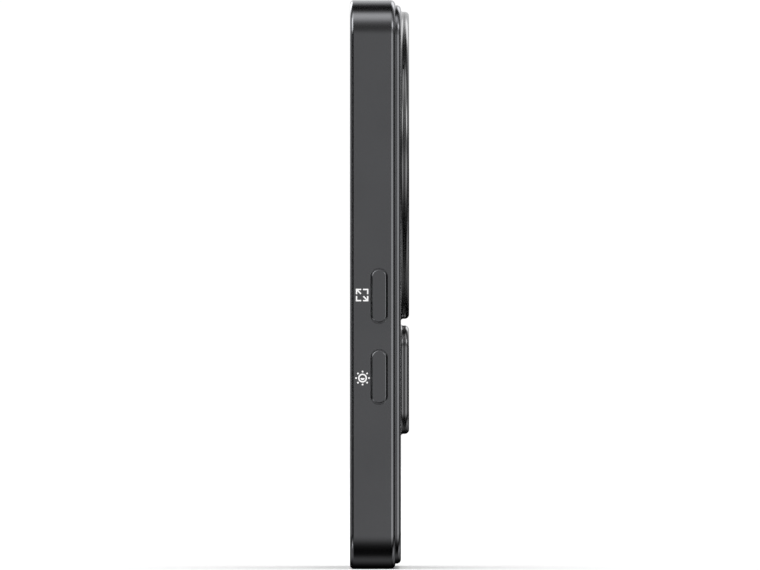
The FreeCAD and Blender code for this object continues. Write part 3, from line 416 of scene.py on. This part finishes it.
def inkFinish():
    finish = Finish("white_ink", Specular_IOR_Level=0.3)
    edge = finish.noise(0.05 * mm, 3)
    finish.feed("Base Color", edge.blend((0.86, 0.86, 0.86), (0.93, 0.93, 0.93)))
    finish.feed("Roughness", 0.5 + edge * 0.15)
    finish.bump(edge, 0.004 * mm)
    return finish.material


def goldFinish():
    finish = Finish("contact_gold", Metallic=1.0)
    rub = finish.noise(0.3 * mm, 3, 0.5, finish.stretched(4, 4, 1))
    finish.feed("Base Color", rub.blend((0.78, 0.55, 0.2), (0.9, 0.67, 0.28)))
    finish.feed("Roughness", 0.18 + rub * 0.12)
    return finish.material


ink = inkFinish()
gold = goldFinish()

slotOf = {part["node"]: part["material_slot"] for part in frame["record"]["subparts"]}
for name, node in frame["nodes"].items():
    node.data.materials.clear()
    node.data.materials.append(finishes[slotOf[name]])
print("finishes made:", len(finishes) + 2)


# Tools that the new pieces share
shading = {"hardEdge": 50, "smoothBelow": 35, "flatWeight": 80}
past = 1 * mm  # how far a cutter runs beyond what it cuts
slack = 0.1 * mm  # the same, where a neighbour is close


def clearSelection():
    if bpy.context.mode != "OBJECT":
        bpy.ops.object.mode_set(mode="OBJECT")
    bpy.ops.object.select_all(action="DESELECT")


def activate(piece):
    clearSelection()
    piece.select_set(True)
    bpy.context.view_layer.objects.active = piece


def edit(piece):
    activate(piece)
    bpy.ops.object.mode_set(mode="EDIT")


def pick(piece, kind, test):
    bpy.ops.mesh.select_mode(type=kind)
    bpy.ops.mesh.select_all(action="DESELECT")
    mesh = bmesh.from_edit_mesh(piece.data)
    for item in {"VERT": mesh.verts, "EDGE": mesh.edges, "FACE": mesh.faces}[kind]:
        if test(item):
            item.select_set(True)
    bmesh.update_edit_mesh(piece.data)


def settle(piece):
    # Puts the place of an object into its mesh
    activate(piece)
    bpy.ops.object.transform_apply(location=True, rotation=True, scale=True)
    return piece


def slab(name, low, high, corner, along=1, segments=20):
    # A block between two corners, with its four edges along one axis rounded
    clearSelection()
    bpy.ops.mesh.primitive_cube_add(size=1, location=(low + high) / 2, scale=high - low)
    piece = bpy.context.active_object
    piece.name = name
    settle(piece)
    edit(piece)

    def runsAlong(edge):
        first, second = (end.co for end in edge.verts)
        return abs(first[along] - second[along]) > 1e-7

    pick(piece, "EDGE", runsAlong)
    bpy.ops.mesh.bevel(offset=corner, segments=segments, affect="EDGES", clamp_overlap=True)
    bpy.ops.mesh.select_all(action="SELECT")
    bpy.ops.mesh.remove_doubles(threshold=1e-6)
    bpy.ops.object.mode_set(mode="OBJECT")
    return piece


def roundEnd(piece, axis, level, radius, segments=6, profile=0.5):
    # Rounds the outline of the end face that lies at one level
    edit(piece)
    pick(piece, "EDGE", lambda edge: all(abs(corner.co[axis] - level) < 1e-7 for corner in edge.verts))
    bpy.ops.mesh.bevel(offset=radius, segments=segments, profile=profile, affect="EDGES", clamp_overlap=False)
    bpy.ops.object.mode_set(mode="OBJECT")


def copied(piece, shift):
    # A copy with its own mesh, moved by one step
    activate(piece)
    bpy.ops.object.duplicate(linked=False)
    twin = bpy.context.active_object
    twin.location += Vector(shift)
    return settle(twin)


def joined(name, parts):
    activate(parts[0])
    for part in parts:
        part.select_set(True)
    bpy.ops.object.join()
    whole = bpy.context.active_object
    whole.name = name
    return whole


def carve(piece, tool, operation="DIFFERENCE"):
    modifier = piece.modifiers.new("Carve", "BOOLEAN")
    modifier.operation = operation
    modifier.solver = "EXACT"
    modifier.object = tool
    activate(piece)
    bpy.ops.object.modifier_apply(modifier=modifier.name)
    bpy.data.objects.remove(tool)


def breakEdges(piece, width):
    # Takes the sharpness off every hard edge
    modifier = piece.modifiers.new("Break", "BEVEL")
    modifier.width = width
    modifier.segments = 2
    modifier.limit_method = "ANGLE"
    modifier.angle_limit = math.radians(shading["hardEdge"])
    modifier.use_clamp_overlap = False
    activate(piece)
    bpy.ops.object.modifier_apply(modifier=modifier.name)


def polish(piece):
    # Smooth shading that keeps flats flat
    activate(piece)
    bpy.ops.object.shade_smooth_by_angle(angle=math.radians(shading["smoothBelow"]))
    modifier = piece.modifiers.new("Flats", "WEIGHTED_NORMAL")
    modifier.keep_sharp = True
    modifier.weight = shading["flatWeight"]
    bpy.ops.object.modifier_apply(modifier=modifier.name)


def dress(piece, body, slotName, *nodes, material=None):
    # Gives a finished piece its finish and its body, and hides the CAD nodes it stands for
    piece.data.materials.clear()
    piece.data.materials.append(material or finishes[slotName])
    piece.data.name = piece.name
    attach(piece, body)
    if nodes:
        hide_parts(*nodes)


# Casing: a rounded slab, hollowed from the front and from the back, and pierced for keys, socket and light
frameShape = {"corner": 6.35 * mm, "frontRound": 0.72 * mm, "backRound": 0.9 * mm, "rim": 1.3 * mm,
              "wall": 1.6 * mm, "openCorner": 0.3 * mm, "snapCorner": 0.1 * mm,
              "seatDeep": 1.25 * mm, "openWide": 55.2 * mm, "openLow": 4.4 * mm, "openHigh": 98.0 * mm,
              "keyWide": 2.64 * mm, "keyLong": 9.55 * mm, "keyGap": 0.24 * mm, "slotRound": 0.4999,
              "mouthGap": 0.1 * mm, "mouthCorner": 1.3 * mm,
              "pipeGap": 0.05 * mm, "screwX": 20.0 * mm, "screwIn": 2.8 * mm, "screwRadius": 0.7 * mm,
              "screwDeep": 1.5 * mm, "snapPitch": 36.0 * mm, "snapLong": 6.04 * mm, "snapTall": 0.84 * mm,
              "snapLevel": 7.47 * mm, "snapDeep": 0.37 * mm, "broken": 0.05 * mm}


def hole(name, centre, radius, depth, axis, sides=40):
    # A round cutter along one axis, on the middle of its depth
    turns = {0: (0, math.pi / 2, 0), 1: (math.pi / 2, 0, 0), 2: (0, 0, 0)}
    clearSelection()
    bpy.ops.mesh.primitive_cylinder_add(vertices=sides, radius=radius, depth=depth, location=centre,
                                        rotation=turns[axis])
    tool = bpy.context.active_object
    tool.name = name
    return settle(tool)


def spread(low, high, x=0.0, y=0.0, z=0.0):
    # A box's two corners, moved apart
    more = Vector((x, y, z))
    return low - more, high + more


def buildFrame():
    low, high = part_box("main_frame")
    shape = frameShape
    piece = slab("casing_frame", low, high, shape["corner"], segments=28)
    roundEnd(piece, 1, low.y, shape["frontRound"], 8)
    roundEnd(piece, 1, high.y, shape["backRound"], 8)

    rim, wall = shape["rim"], shape["wall"]
    seatLow, seatHigh = spread(low, high, -rim, 0, -rim)
    seatLow.y = low.y - past
    seatHigh.y = low.y + shape["seatDeep"]
    carve(piece, slab("seat", seatLow, seatHigh, shape["corner"] - rim, segments=28))
    half = shape["openWide"] / 2
    carve(piece, slab("opening", Vector((-half, low.y - past, shape["openLow"])),
                      Vector((half, high.y + past, shape["openHigh"])), shape["openCorner"], segments=4))
    bayLow, bayHigh = spread(low, high, -wall, 0, -wall)
    bayLow.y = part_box("chassis_plate")[0].y
    bayHigh.y = high.y + past
    carve(piece, slab("bay", bayLow, bayHigh, shape["corner"] - wall, segments=28))

    for label, side in (("zoom_key", 1), ("brightness_key", 1), ("power_key", -1)):
        keyLow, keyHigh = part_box(label)
        middle = (keyLow + keyHigh) / 2
        middle.x = side * high.x
        reach = Vector((2 * wall, shape["keyWide"] / 2, shape["keyLong"] / 2))
        slotLow, slotHigh = spread(middle - reach, middle + reach, 0, shape["keyGap"], shape["keyGap"])
        roundEnds = shape["slotRound"] * (slotHigh.y - slotLow.y)
        carve(piece, slab("slot", slotLow, slotHigh, roundEnds, along=0, segments=24))
    socketLow, socketHigh = spread(*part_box("socket_shell"), shape["mouthGap"], shape["mouthGap"], 0)
    socketLow.z = low.z - past
    socketHigh.z = low.z + 2 * wall
    carve(piece, slab("mouth", socketLow, socketHigh, shape["mouthCorner"], along=2, segments=12))
    pipeLow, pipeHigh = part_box("light_pipe")
    centre = (pipeLow + pipeHigh) / 2
    centre.z = low.z
    carve(piece, hole("light", centre, (pipeHigh.x - pipeLow.x) / 2 + shape["pipeGap"], 4 * wall, 2))
    for side in (-1, 1):
        for height in (low.z + shape["screwIn"], high.z - shape["screwIn"]):
            centre = Vector((side * shape["screwX"], bayLow.y - shape["screwDeep"] / 2, height))
            carve(piece, hole("screw", centre, shape["screwRadius"], shape["screwDeep"] + 0.02 * mm, 1, 24))
        for step in (-1, 0, 1):
            inner = side * (high.x - wall)
            height = (low.z + high.z) / 2 + step * shape["snapPitch"]
            centre = Vector((inner, low.y + shape["snapLevel"], height))
            reach = Vector((shape["snapDeep"], shape["snapTall"] / 2, shape["snapLong"] / 2))
            carve(piece, slab("snap", centre - reach, centre + reach, shape["snapCorner"], segments=2))
    breakEdges(piece, shape["broken"])
    polish(piece)
    dress(piece, "casing", "casing_shell", "main_frame")


buildFrame()
print("casing built")


# The magnet ring is turned from its section, with a soft pad on top

ringShape = {"outer": 28.0 * mm, "inner": 22.0 * mm, "height": 73.33 * mm, "flare": 0.35 * mm,
             "wall": 0.8 * mm, "padOuterRound": 0.8 * mm, "padInnerRound": 0.35 * mm, "padTop": 0.5 * mm,
             "padEdge": 0.06 * mm, "floor": 0.25 * mm, "holderEdge": 0.08 * mm, "lipRound": 0.34 * mm,
             "lipHollow": 0.12, "steps": 160}


def section(name, inner, outer, low, high):
    # A flat face in the plane across the ring: radius along Z above the ring's middle, depth along Y
    clearSelection()
    middle = Vector((0, (low + high) / 2, ringShape["height"] + (inner + outer) / 2))
    bpy.ops.mesh.primitive_plane_add(size=1, location=middle, rotation=(0, math.pi / 2, 0))
    piece = bpy.context.active_object
    piece.scale = (outer - inner, high - low, 1)
    piece.name = name
    return settle(piece)


def roundCorner(piece, radius, depth, size, segments=8, profile=0.5):
    # Rounds the section's corner at one radius and depth
    edit(piece)
    target = Vector((0, depth, ringShape["height"] + radius))
    pick(piece, "VERT", lambda corner: (corner.co - target).length < 1e-6)
    bpy.ops.mesh.bevel(offset=size, segments=segments, profile=profile, affect="VERTICES", clamp_overlap=False)
    bpy.ops.object.mode_set(mode="OBJECT")


def turnRing(piece):
    # Spins the section's outline right round
    edit(piece)
    bpy.ops.mesh.select_all(action="SELECT")
    bpy.ops.mesh.delete(type="ONLY_FACE")
    bpy.ops.mesh.select_all(action="SELECT")
    bpy.ops.mesh.spin(steps=ringShape["steps"], angle=2 * math.pi, center=(0, 0, ringShape["height"]),
                      axis=(0, 1, 0))
    bpy.ops.mesh.select_all(action="SELECT")
    bpy.ops.mesh.remove_doubles(threshold=1e-7)
    bpy.ops.mesh.select_all(action="SELECT")
    bpy.ops.mesh.normals_make_consistent(inside=False)
    bpy.ops.object.mode_set(mode="OBJECT")
    return piece


def buildRing():
    padLow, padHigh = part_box("ring_pad")
    holderLow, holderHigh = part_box("ring_holder")
    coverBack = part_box("rear_cover")[1].y
    outer, inner, wall = ringShape["outer"], ringShape["inner"], ringShape["wall"]

    pad = section("ring_face", inner, outer, padLow.y, padHigh.y)
    roundCorner(pad, outer, padHigh.y, ringShape["padOuterRound"])
    roundCorner(pad, inner, padHigh.y, ringShape["padInnerRound"])
    for radius in (outer, inner):
        roundCorner(pad, radius, padLow.y, ringShape["padEdge"], segments=3)
    turnRing(pad)
    carve(pad, turnRing(section("channel", inner + wall, outer - wall, padLow.y - slack,
                                padHigh.y - ringShape["padTop"])))
    polish(pad)
    dress(pad, "casing", "soft_pad", "ring_pad")

    holder = section("ring_base", inner, outer, holderLow.y, holderHigh.y)
    roundCorner(holder, outer, holderHigh.y, ringShape["holderEdge"], segments=3)
    turnRing(holder)
    lipEdge, lipTop = outer + ringShape["flare"], coverBack + ringShape["flare"]
    lip = section("lip", outer - slack, lipEdge, coverBack, lipTop)
    roundCorner(lip, lipEdge, lipTop, ringShape["lipRound"], profile=ringShape["lipHollow"])
    carve(holder, turnRing(lip), "UNION")
    carve(holder, turnRing(section("channel", inner + wall, outer - wall, holderLow.y + ringShape["floor"],
                                   holderHigh.y + slack)))
    polish(holder)
    dress(holder, "casing", "gloss_black", "ring_holder")


buildRing()
print("ring built")


# The alignment bar below the ring is made the same way, from slabs

barShape = {"flare": 0.35 * mm, "wall": 0.8 * mm, "padRound": 0.8 * mm, "floor": 0.25 * mm, "padTop": 0.5 * mm,
            "padEdge": 0.06 * mm, "holderEdge": 0.08 * mm, "lipRound": 0.34 * mm, "lipHollow": 0.12,
            "endRound": 0.49999}


def pillSlab(name, low, high, grow=0.0):
    # A slab with full-round ends, grown or shrunk all round in the X and Z directions
    low, high = spread(low, high, grow, 0, grow)
    return slab(name, low, high, barShape["endRound"] * (high.x - low.x), segments=32)


def buildBar():
    padLow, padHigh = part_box("bar_pad")
    holderLow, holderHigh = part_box("bar_holder")
    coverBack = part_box("rear_cover")[1].y
    wall, flare = barShape["wall"], barShape["flare"]

    pad = pillSlab("bar_face", padLow, padHigh)
    roundEnd(pad, 1, padHigh.y, barShape["padRound"], 8)
    roundEnd(pad, 1, padLow.y, barShape["padEdge"], 3)
    top = Vector((padHigh.x, padHigh.y - barShape["padTop"], padHigh.z))
    bottom = Vector((padLow.x, padLow.y - slack, padLow.z))
    carve(pad, pillSlab("channel", bottom, top, -wall))
    polish(pad)
    dress(pad, "casing", "soft_pad", "bar_pad")

    holderLow = Vector((padLow.x, holderLow.y, padLow.z))
    holderHigh = Vector((padHigh.x, holderHigh.y, padHigh.z))
    holder = pillSlab("bar_base", holderLow, holderHigh)
    roundEnd(holder, 1, holderHigh.y, barShape["holderEdge"], 3)
    lip = pillSlab("lip", Vector((holderLow.x, coverBack, holderLow.z)),
                   Vector((holderHigh.x, coverBack + flare, holderHigh.z)), flare)
    roundEnd(lip, 1, coverBack + flare, barShape["lipRound"], 8, barShape["lipHollow"])
    carve(holder, lip, "UNION")
    carve(holder, pillSlab("channel", holderLow + Vector((0, barShape["floor"], 0)),
                           holderHigh + Vector((0, slack, 0)), -wall))
    polish(holder)
    dress(holder, "casing", "gloss_black", "bar_holder")


buildBar()
print("bar built")


# Signs printed beside the keys

signs = {"lift": 0.012 * mm, "expandSize": 2.27 * mm, "stroke": 0.25 * mm, "arm": 0.97 * mm, "inner": 0.22 * mm,
         "expandDepth": 2.21 * mm, "expandHeight": 49.68 * mm,
         "sunDepth": 2.29 * mm, "sunHeight": 34.64 * mm, "sunRing": 0.68 * mm, "rayReach": 1.17 * mm,
         "rayDot": 0.165 * mm, "moon": 0.38 * mm,
         "powerRing": 0.72 * mm, "powerGap": 35, "powerFoot": 0.2 * mm, "powerTop": 1.02 * mm,
         "inkEdge": 0.2, "crossLift": 0.15}


def inkBar(first, second, stroke, higher=0.0):
    # A flat bar of ink on the YZ plane between two points, each given as depth and height
    run = Vector((0, second[0] - first[0], second[1] - first[1]))
    middle = Vector((0, (first[0] + second[0]) / 2, (first[1] + second[1]) / 2))
    clearSelection()
    bpy.ops.mesh.primitive_cube_add(size=1, location=middle, rotation=(math.atan2(run.z, run.y), 0, 0),
                                    scale=(2 * (signs["lift"] + higher), run.length, stroke))
    piece = settle(bpy.context.active_object)
    edit(piece)
    bpy.ops.mesh.select_all(action="SELECT")
    bpy.ops.mesh.bevel(offset=signs["inkEdge"] * signs["lift"], segments=1, affect="EDGES")
    bpy.ops.object.mode_set(mode="OBJECT")
    return piece


def inkDisc(centre, radius):
    clearSelection()
    bpy.ops.mesh.primitive_cylinder_add(vertices=16, radius=radius, depth=2 * signs["lift"],
                                        location=(0, *centre), rotation=(0, math.pi / 2, 0))
    piece = settle(bpy.context.active_object)
    roundEnd(piece, 0, signs["lift"], signs["inkEdge"] * signs["lift"], 1)
    return piece


def inkRing(centre, radius, stroke, start=0.0, turn=2 * math.pi, steps=48):
    # A stroke that follows a circle, or part of one: angles go from +Y towards +Z
    clearSelection()
    whole = turn > 6.28
    reach = Vector((0, math.cos(start), math.sin(start))) * radius
    bpy.ops.mesh.primitive_plane_add(size=1, location=Vector((0, *centre)) + reach, rotation=(start, 0, 0))
    bpy.context.active_object.scale = (2 * signs["lift"], stroke, 1)
    piece = settle(bpy.context.active_object)
    edit(piece)
    bpy.ops.mesh.select_all(action="SELECT")
    if whole:
        bpy.ops.mesh.delete(type="ONLY_FACE")
        bpy.ops.mesh.select_all(action="SELECT")
    bpy.ops.mesh.spin(steps=steps, angle=turn, center=(0, *centre), axis=(-1, 0, 0))
    bpy.ops.mesh.select_all(action="SELECT")
    bpy.ops.mesh.remove_doubles(threshold=1e-7)
    bpy.ops.mesh.select_all(action="SELECT")
    bpy.ops.mesh.normals_make_consistent(inside=False)
    bpy.ops.object.mode_set(mode="OBJECT")
    return piece


def printSign(name, parts, side):
    # Joins the strokes and lays them on the wall of one side
    sign = joined(name, parts)
    sign.location.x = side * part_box("main_frame")[1].x
    settle(sign)
    dress(sign, "casing", "white_plastic", material=ink)


def expandSign():
    # Four corner brackets, two of them with a stroke that points inwards
    middle = (cadLow.y + signs["expandDepth"], signs["expandHeight"])
    stroke = signs["stroke"]
    half = signs["expandSize"] / 2 - stroke / 2
    parts = []
    for across, up in ((-1, 1), (1, 1), (1, -1), (-1, -1)):
        corner = (middle[0] + across * half, middle[1] + up * half)
        tip = signs["arm"] - stroke / 2
        sideways = (corner[0] - across * tip, corner[1])
        upright = (corner[0], corner[1] - up * tip)
        end = (corner[0] + across * stroke / 2, corner[1])
        start = (corner[0], corner[1] - up * stroke / 2)
        parts.append(inkBar(end, sideways, stroke))
        parts.append(inkBar(start, upright, stroke))
        if across * up < 0:
            inner = (middle[0] + across * signs["inner"], middle[1] + up * signs["inner"])
            parts.append(inkBar(corner, inner, stroke, higher=signs["crossLift"] * signs["lift"]))
    printSign("expand_sign", parts, 1)


def sunSign():
    # A circle half filled from below, with eight dots round it
    middle = (cadLow.y + signs["sunDepth"], signs["sunHeight"])
    parts = [inkRing(middle, signs["sunRing"], signs["stroke"])]
    reach = signs["rayReach"]
    dot = inkDisc((middle[0] + reach, middle[1]), signs["rayDot"])
    parts.append(dot)
    for turn in range(1, 8):
        angle = turn * math.pi / 4
        parts.append(copied(dot, (0, reach * (math.cos(angle) - 1), reach * math.sin(angle))))
    parts.append(inkRing(middle, signs["moon"] / 2, 0.98 * signs["moon"], math.pi, math.pi, 16))
    printSign("brightness_sign", parts, 1)


def powerSign():
    # The usual broken circle with an upright stroke
    keyLow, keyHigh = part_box("power_key")
    middle = (cadLow.y + signs["sunDepth"], (keyLow.z + keyHigh.z) / 2)
    gap = math.radians(signs["powerGap"])
    foot = (middle[0], middle[1] + signs["powerFoot"])
    top = (middle[0], middle[1] + signs["powerTop"])
    parts = [inkRing(middle, signs["powerRing"], signs["stroke"], math.pi / 2 + gap, 2 * math.pi - 2 * gap),
             inkBar(foot, top, signs["stroke"])]
    printSign("power_sign", parts, -1)


expandSign()
sunSign()
powerSign()
print("signs printed")


# Soft sheets inside: foam behind the screen, tape under the glass and under the battery
sheets = {"foamCorner": 2.0 * mm, "foamRound": 0.09 * mm, "tapeCorner": 4.9 * mm, "tapeSide": 27.7 * mm,
          "tapeLow": 4.3 * mm, "tapeHigh": 98.1 * mm, "stripGap": 6.0 * mm, "tapeRound": 0.03 * mm,
          "windowCorner": 0.3 * mm, "stripCorner": 1.5 * mm, "gapCorner": 1.0 * mm}


def buildSheets():
    low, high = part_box("panel_foam")
    foamPiece = slab("foam_sheet", low, high, sheets["foamCorner"], segments=12)
    for level in (low.y, high.y):
        roundEnd(foamPiece, 1, level, sheets["foamRound"], 4)
    polish(foamPiece)
    dress(foamPiece, "casing", "soft_foam", "panel_foam")

    low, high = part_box("glass_tape")
    tape = slab("glass_bond", low, high, sheets["tapeCorner"], segments=12)
    windowLow = Vector((-sheets["tapeSide"], low.y - past, sheets["tapeLow"]))
    windowHigh = Vector((sheets["tapeSide"], high.y + past, sheets["tapeHigh"]))
    carve(tape, slab("window", windowLow, windowHigh, sheets["windowCorner"], segments=4))
    breakEdges(tape, sheets["tapeRound"])
    polish(tape)
    dress(tape, "casing", "bonding_tape", "glass_tape")

    low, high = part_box("battery_tape")
    tape = slab("battery_bond", low, high, sheets["stripCorner"], segments=8)
    half = sheets["stripGap"] / 2
    carve(tape, slab("gap", Vector((-half, low.y - past, low.z + half)),
                     Vector((half, high.y + past, high.z + past)), sheets["gapCorner"], segments=6))
    breakEdges(tape, sheets["tapeRound"])
    polish(tape)
    dress(tape, "casing", "bonding_tape", "battery_tape")


buildSheets()


# Gilded contacts on both faces of the socket's tongue
contacts = {"count": 12, "pitch": 0.5 * mm, "wide": 0.28 * mm, "start": 0.7 * mm, "long": 3.5 * mm,
            "thick": 0.05 * mm, "tongueThick": 0.7 * mm, "corner": 0.02 * mm, "tip": 0.015 * mm}


def buildContacts():
    low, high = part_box("socket_tongue")
    middle = (low.y + high.y) / 2
    start = low.z + contacts["start"]
    first = -(contacts["count"] - 1) / 2 * contacts["pitch"]
    half = Vector((contacts["wide"] / 2, contacts["thick"] / 2, contacts["long"] / 2))
    centre = Vector((first, middle - contacts["tongueThick"] / 2, start + half.z))
    strip = slab("strip", centre - half, centre + half, contacts["corner"], along=2, segments=2)
    roundEnd(strip, 2, start, contacts["tip"], 1)
    parts = [strip]
    for index in range(1, contacts["count"]):
        parts.append(copied(strip, (index * contacts["pitch"], 0, 0)))
    for part in list(parts):
        parts.append(copied(part, (0, contacts["tongueThick"], 0)))
    row = joined("socket_contacts", parts)
    polish(row)
    dress(row, "casing", "socket_steel", material=gold)


buildContacts()
print("sheets and contacts built")


# The studio. A lens much longer than this puts the turned camera past its far clip, and it sees nothing.
studio = {"lens": 1200.0, "sensor": 36.0, "viewWidth": 137.87 * mm, "height": 51.5 * mm, "across": 0.076 * mm,
          "floorSize": 5.0, "floorGrey": 0.93, "topLight": 24.0, "topHeight": 2.5, "topSize": 4.0,
          "backdrop": 1.03, "tint": (0.985, 0.99, 1.0, 1)}


def buildCamera():
    data = bpy.data.cameras.new("studio_camera")
    data.lens = studio["lens"]
    data.sensor_width = studio["sensor"]
    camera = bpy.data.objects.new("studio_camera", data)
    bpy.context.scene.collection.objects.link(camera)
    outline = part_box("main_frame")[1].x - frameShape["corner"]
    away = studio["lens"] / studio["sensor"] * studio["viewWidth"]
    camera.location = (outline + away, studio["across"], studio["height"])
    camera.rotation_euler = (math.pi / 2, 0, math.pi / 2)
    data.clip_start = 0.05
    data.clip_end = 20
    bpy.context.scene.camera = camera


def buildFloor():
    clearSelection()
    bpy.ops.mesh.primitive_grid_add(x_subdivisions=8, y_subdivisions=8, size=studio["floorSize"],
                                    location=(0, 0, cadLow.z))
    floor = bpy.context.active_object
    floor.name = "studio_floor"
    finish = Finish("studio_floor", Roughness=0.9, Specular_IOR_Level=0.1)
    soft = finish.noise(0.4, 3)
    grey = studio["floorGrey"]
    finish.feed("Base Color", soft.blend((grey, grey, grey), (grey + 0.02, grey + 0.02, grey + 0.02)))
    floor.data.materials.append(finish.material)
    floor.visible_glossy = False


def addTopLight():
    # An area light points straight down when it isn't turned
    data = bpy.data.lights.new("top_light", "AREA")
    data.shape = "RECTANGLE"
    data.size = data.size_y = studio["topSize"]
    data.energy = studio["topLight"]
    light = bpy.data.objects.new("top_light", data)
    bpy.context.scene.collection.objects.link(light)
    light.location = (0, 0, studio["topHeight"])
    light.visible_camera = False
    light.visible_glossy = False


def alongRamp(angle):
    return angle / 360 + 0.5


# What glossy surfaces see of the room, as stops of angle in degrees and level.
# rise turns from straight out at +X up over the top to behind; side goes from -Y to +Y.
room = {
    "rise": [(-180, 0.0), (-133, 0.003), (-118, 0.04), (-106, 0.13), (-96, 0.2), (-86, 0.12), (-74, 0.012),
             (-56, 0.002), (-41, 0.02), (-30, 0.1), (-20, 0.26), (-9, 0.4), (0, 0.42), (7, 0.34), (16, 0.16),
             (27, 0.11), (37, 0.22), (44, 0.42), (52, 0.85), (60, 1.2), (68, 1.35), (75, 0.95), (82, 0.2),
             (90, 0.012), (107, 0.012), (116, 0.12), (126, 0.6), (140, 1.2), (180, 1.1)],
    "near": [(-90, 0.6), (-80, 1.5), (-73, 1.2), (-65, 0.01), (-7, 0.0), (-3, 0.95), (4, 0.97), (9, 0.5),
             (14, 0.7), (21, 2.1), (31, 3.0), (48, 3.0), (59, 1.7), (70, 0.6), (90, 0.3)],
    "far": [(-90, 0.45), (-66, 0.7), (-50, 0.4), (-38, 0.9), (38, 0.9), (60, 0.08), (80, 0.02), (90, 0.1)],
    "nearTop": [(-90, 0.05), (-60, 0.1), (-45, 1.3), (-13, 1.35), (0, 1.0), (15, 0.85), (30, 0.62), (47, 0.42),
                (70, 0.22), (90, 0.05)],
    "riseScale": 1.5, "scale": 3.0, "fill": 0.25, "steep": (38, 56), "pole": (85, 88.5), "poleLevel": 0.3,
}


def ramp(maker, angle, stops, scale):
    # A level for each angle. A ramp's own levels stay under 1, so the scale is taken out and put back.
    settings = {"stops": [(alongRamp(place), level / scale) for place, level in stops]}
    return maker.node("ShaderNodeValToRGB", settings, {0: angle * (1 / (2 * math.pi)) + 0.5}) * scale


def glow(maker, direction, azimuth, elevation, halfWidth, level):
    # A soft round lamp far away, by the cosine between its direction and the ray's
    across, up = math.radians(azimuth), math.radians(elevation)
    towards = (math.cos(up) * math.cos(across), math.cos(up) * math.sin(across), math.sin(up))
    settings = {"operation": "DOT_PRODUCT"}
    facing = maker.node("ShaderNodeVectorMath", settings, {0: direction, 1: towards}, 1)
    edge = math.cos(math.radians(halfWidth))
    core = math.cos(math.radians(lampCore * halfWidth))
    return facing.step(edge, core) * level


# Each lamp's azimuth from +X towards +Y, elevation, half width and level
lamps = [(-48, 28, 26, 2.6), (-50, -31, 10, 2.6), (50, 28, 14, 1.9), (68, 26, 12, 0.8), (90, -38, 17, 0.6),
         (150, 40, 20, 2.0), (-147, 28, 20, 4.0)]
lampCore = 0.35  # the even part of a lamp, as a share of its half width


def buildWorld():
    world = bpy.data.worlds.new("studio_room")
    bpy.context.scene.world = world
    world.use_nodes = True
    tree = world.node_tree
    tree.nodes.clear()
    maker = Shade(tree)
    direction = maker.node("ShaderNodeTexCoord", output=0)
    x, y, z = [maker.node("ShaderNodeSeparateXYZ", None, {0: direction}, axis) for axis in range(3)]
    rise = maker.sum("ARCTAN2", z, x)
    side = y.sum("ARCSINE", y)
    level = ramp(maker, rise, room["rise"], room["riseScale"])
    nearWall = ramp(maker, side, room["near"], room["scale"])
    nearTop = ramp(maker, side, room["nearTop"], room["scale"])
    steep = abs(rise).step(*[math.radians(angle) for angle in room["steep"]])
    near = nearWall * (1 - steep) + nearTop * steep
    far = ramp(maker, side, room["far"], room["scale"])
    front = x.step(-0.2, 0.2)
    bands = level * (front * near + (1 - front) * far)
    behind = 1 - front
    lowSide = (y * -1).step(0.5, 0.7) * room["fill"]
    highSide = y.step(0.4, 0.6) * abs(z).step(0.1, 0.2) * room["fill"]
    bands = bands + behind * (lowSide + highSide)
    aslant = abs(z).step(0.17, 0.3) * front * room["fill"]
    bands = bands + aslant * (y * -1).step(0.12, 0.25) * (y + 1).step(0.1, 0.2)
    pole = abs(y).step(*[math.sin(math.radians(angle)) for angle in room["pole"]])
    seen = bands * (1 - pole) + pole * room["poleLevel"]
    for lamp in lamps:
        seen = seen + glow(maker, direction, *lamp)
    glossy = maker.node("ShaderNodeLightPath", output=3)
    plain = maker.node("ShaderNodeBackground", None, {0: (1, 1, 1, 1), 1: studio["backdrop"]})
    mirrored = maker.node("ShaderNodeBackground", None, {0: studio["tint"], 1: seen})
    mixed = maker.node("ShaderNodeMixShader", None, {0: glossy, 1: plain, 2: mirrored})
    output = tree.nodes.new("ShaderNodeOutputWorld")
    tree.links.new(mixed.socket, output.inputs[0])


buildCamera()
buildFloor()
buildWorld()
addTopLight()
bpy.context.scene.view_settings.view_transform = "Standard"
bpy.context.scene.view_settings.look = "None"
print("studio built")
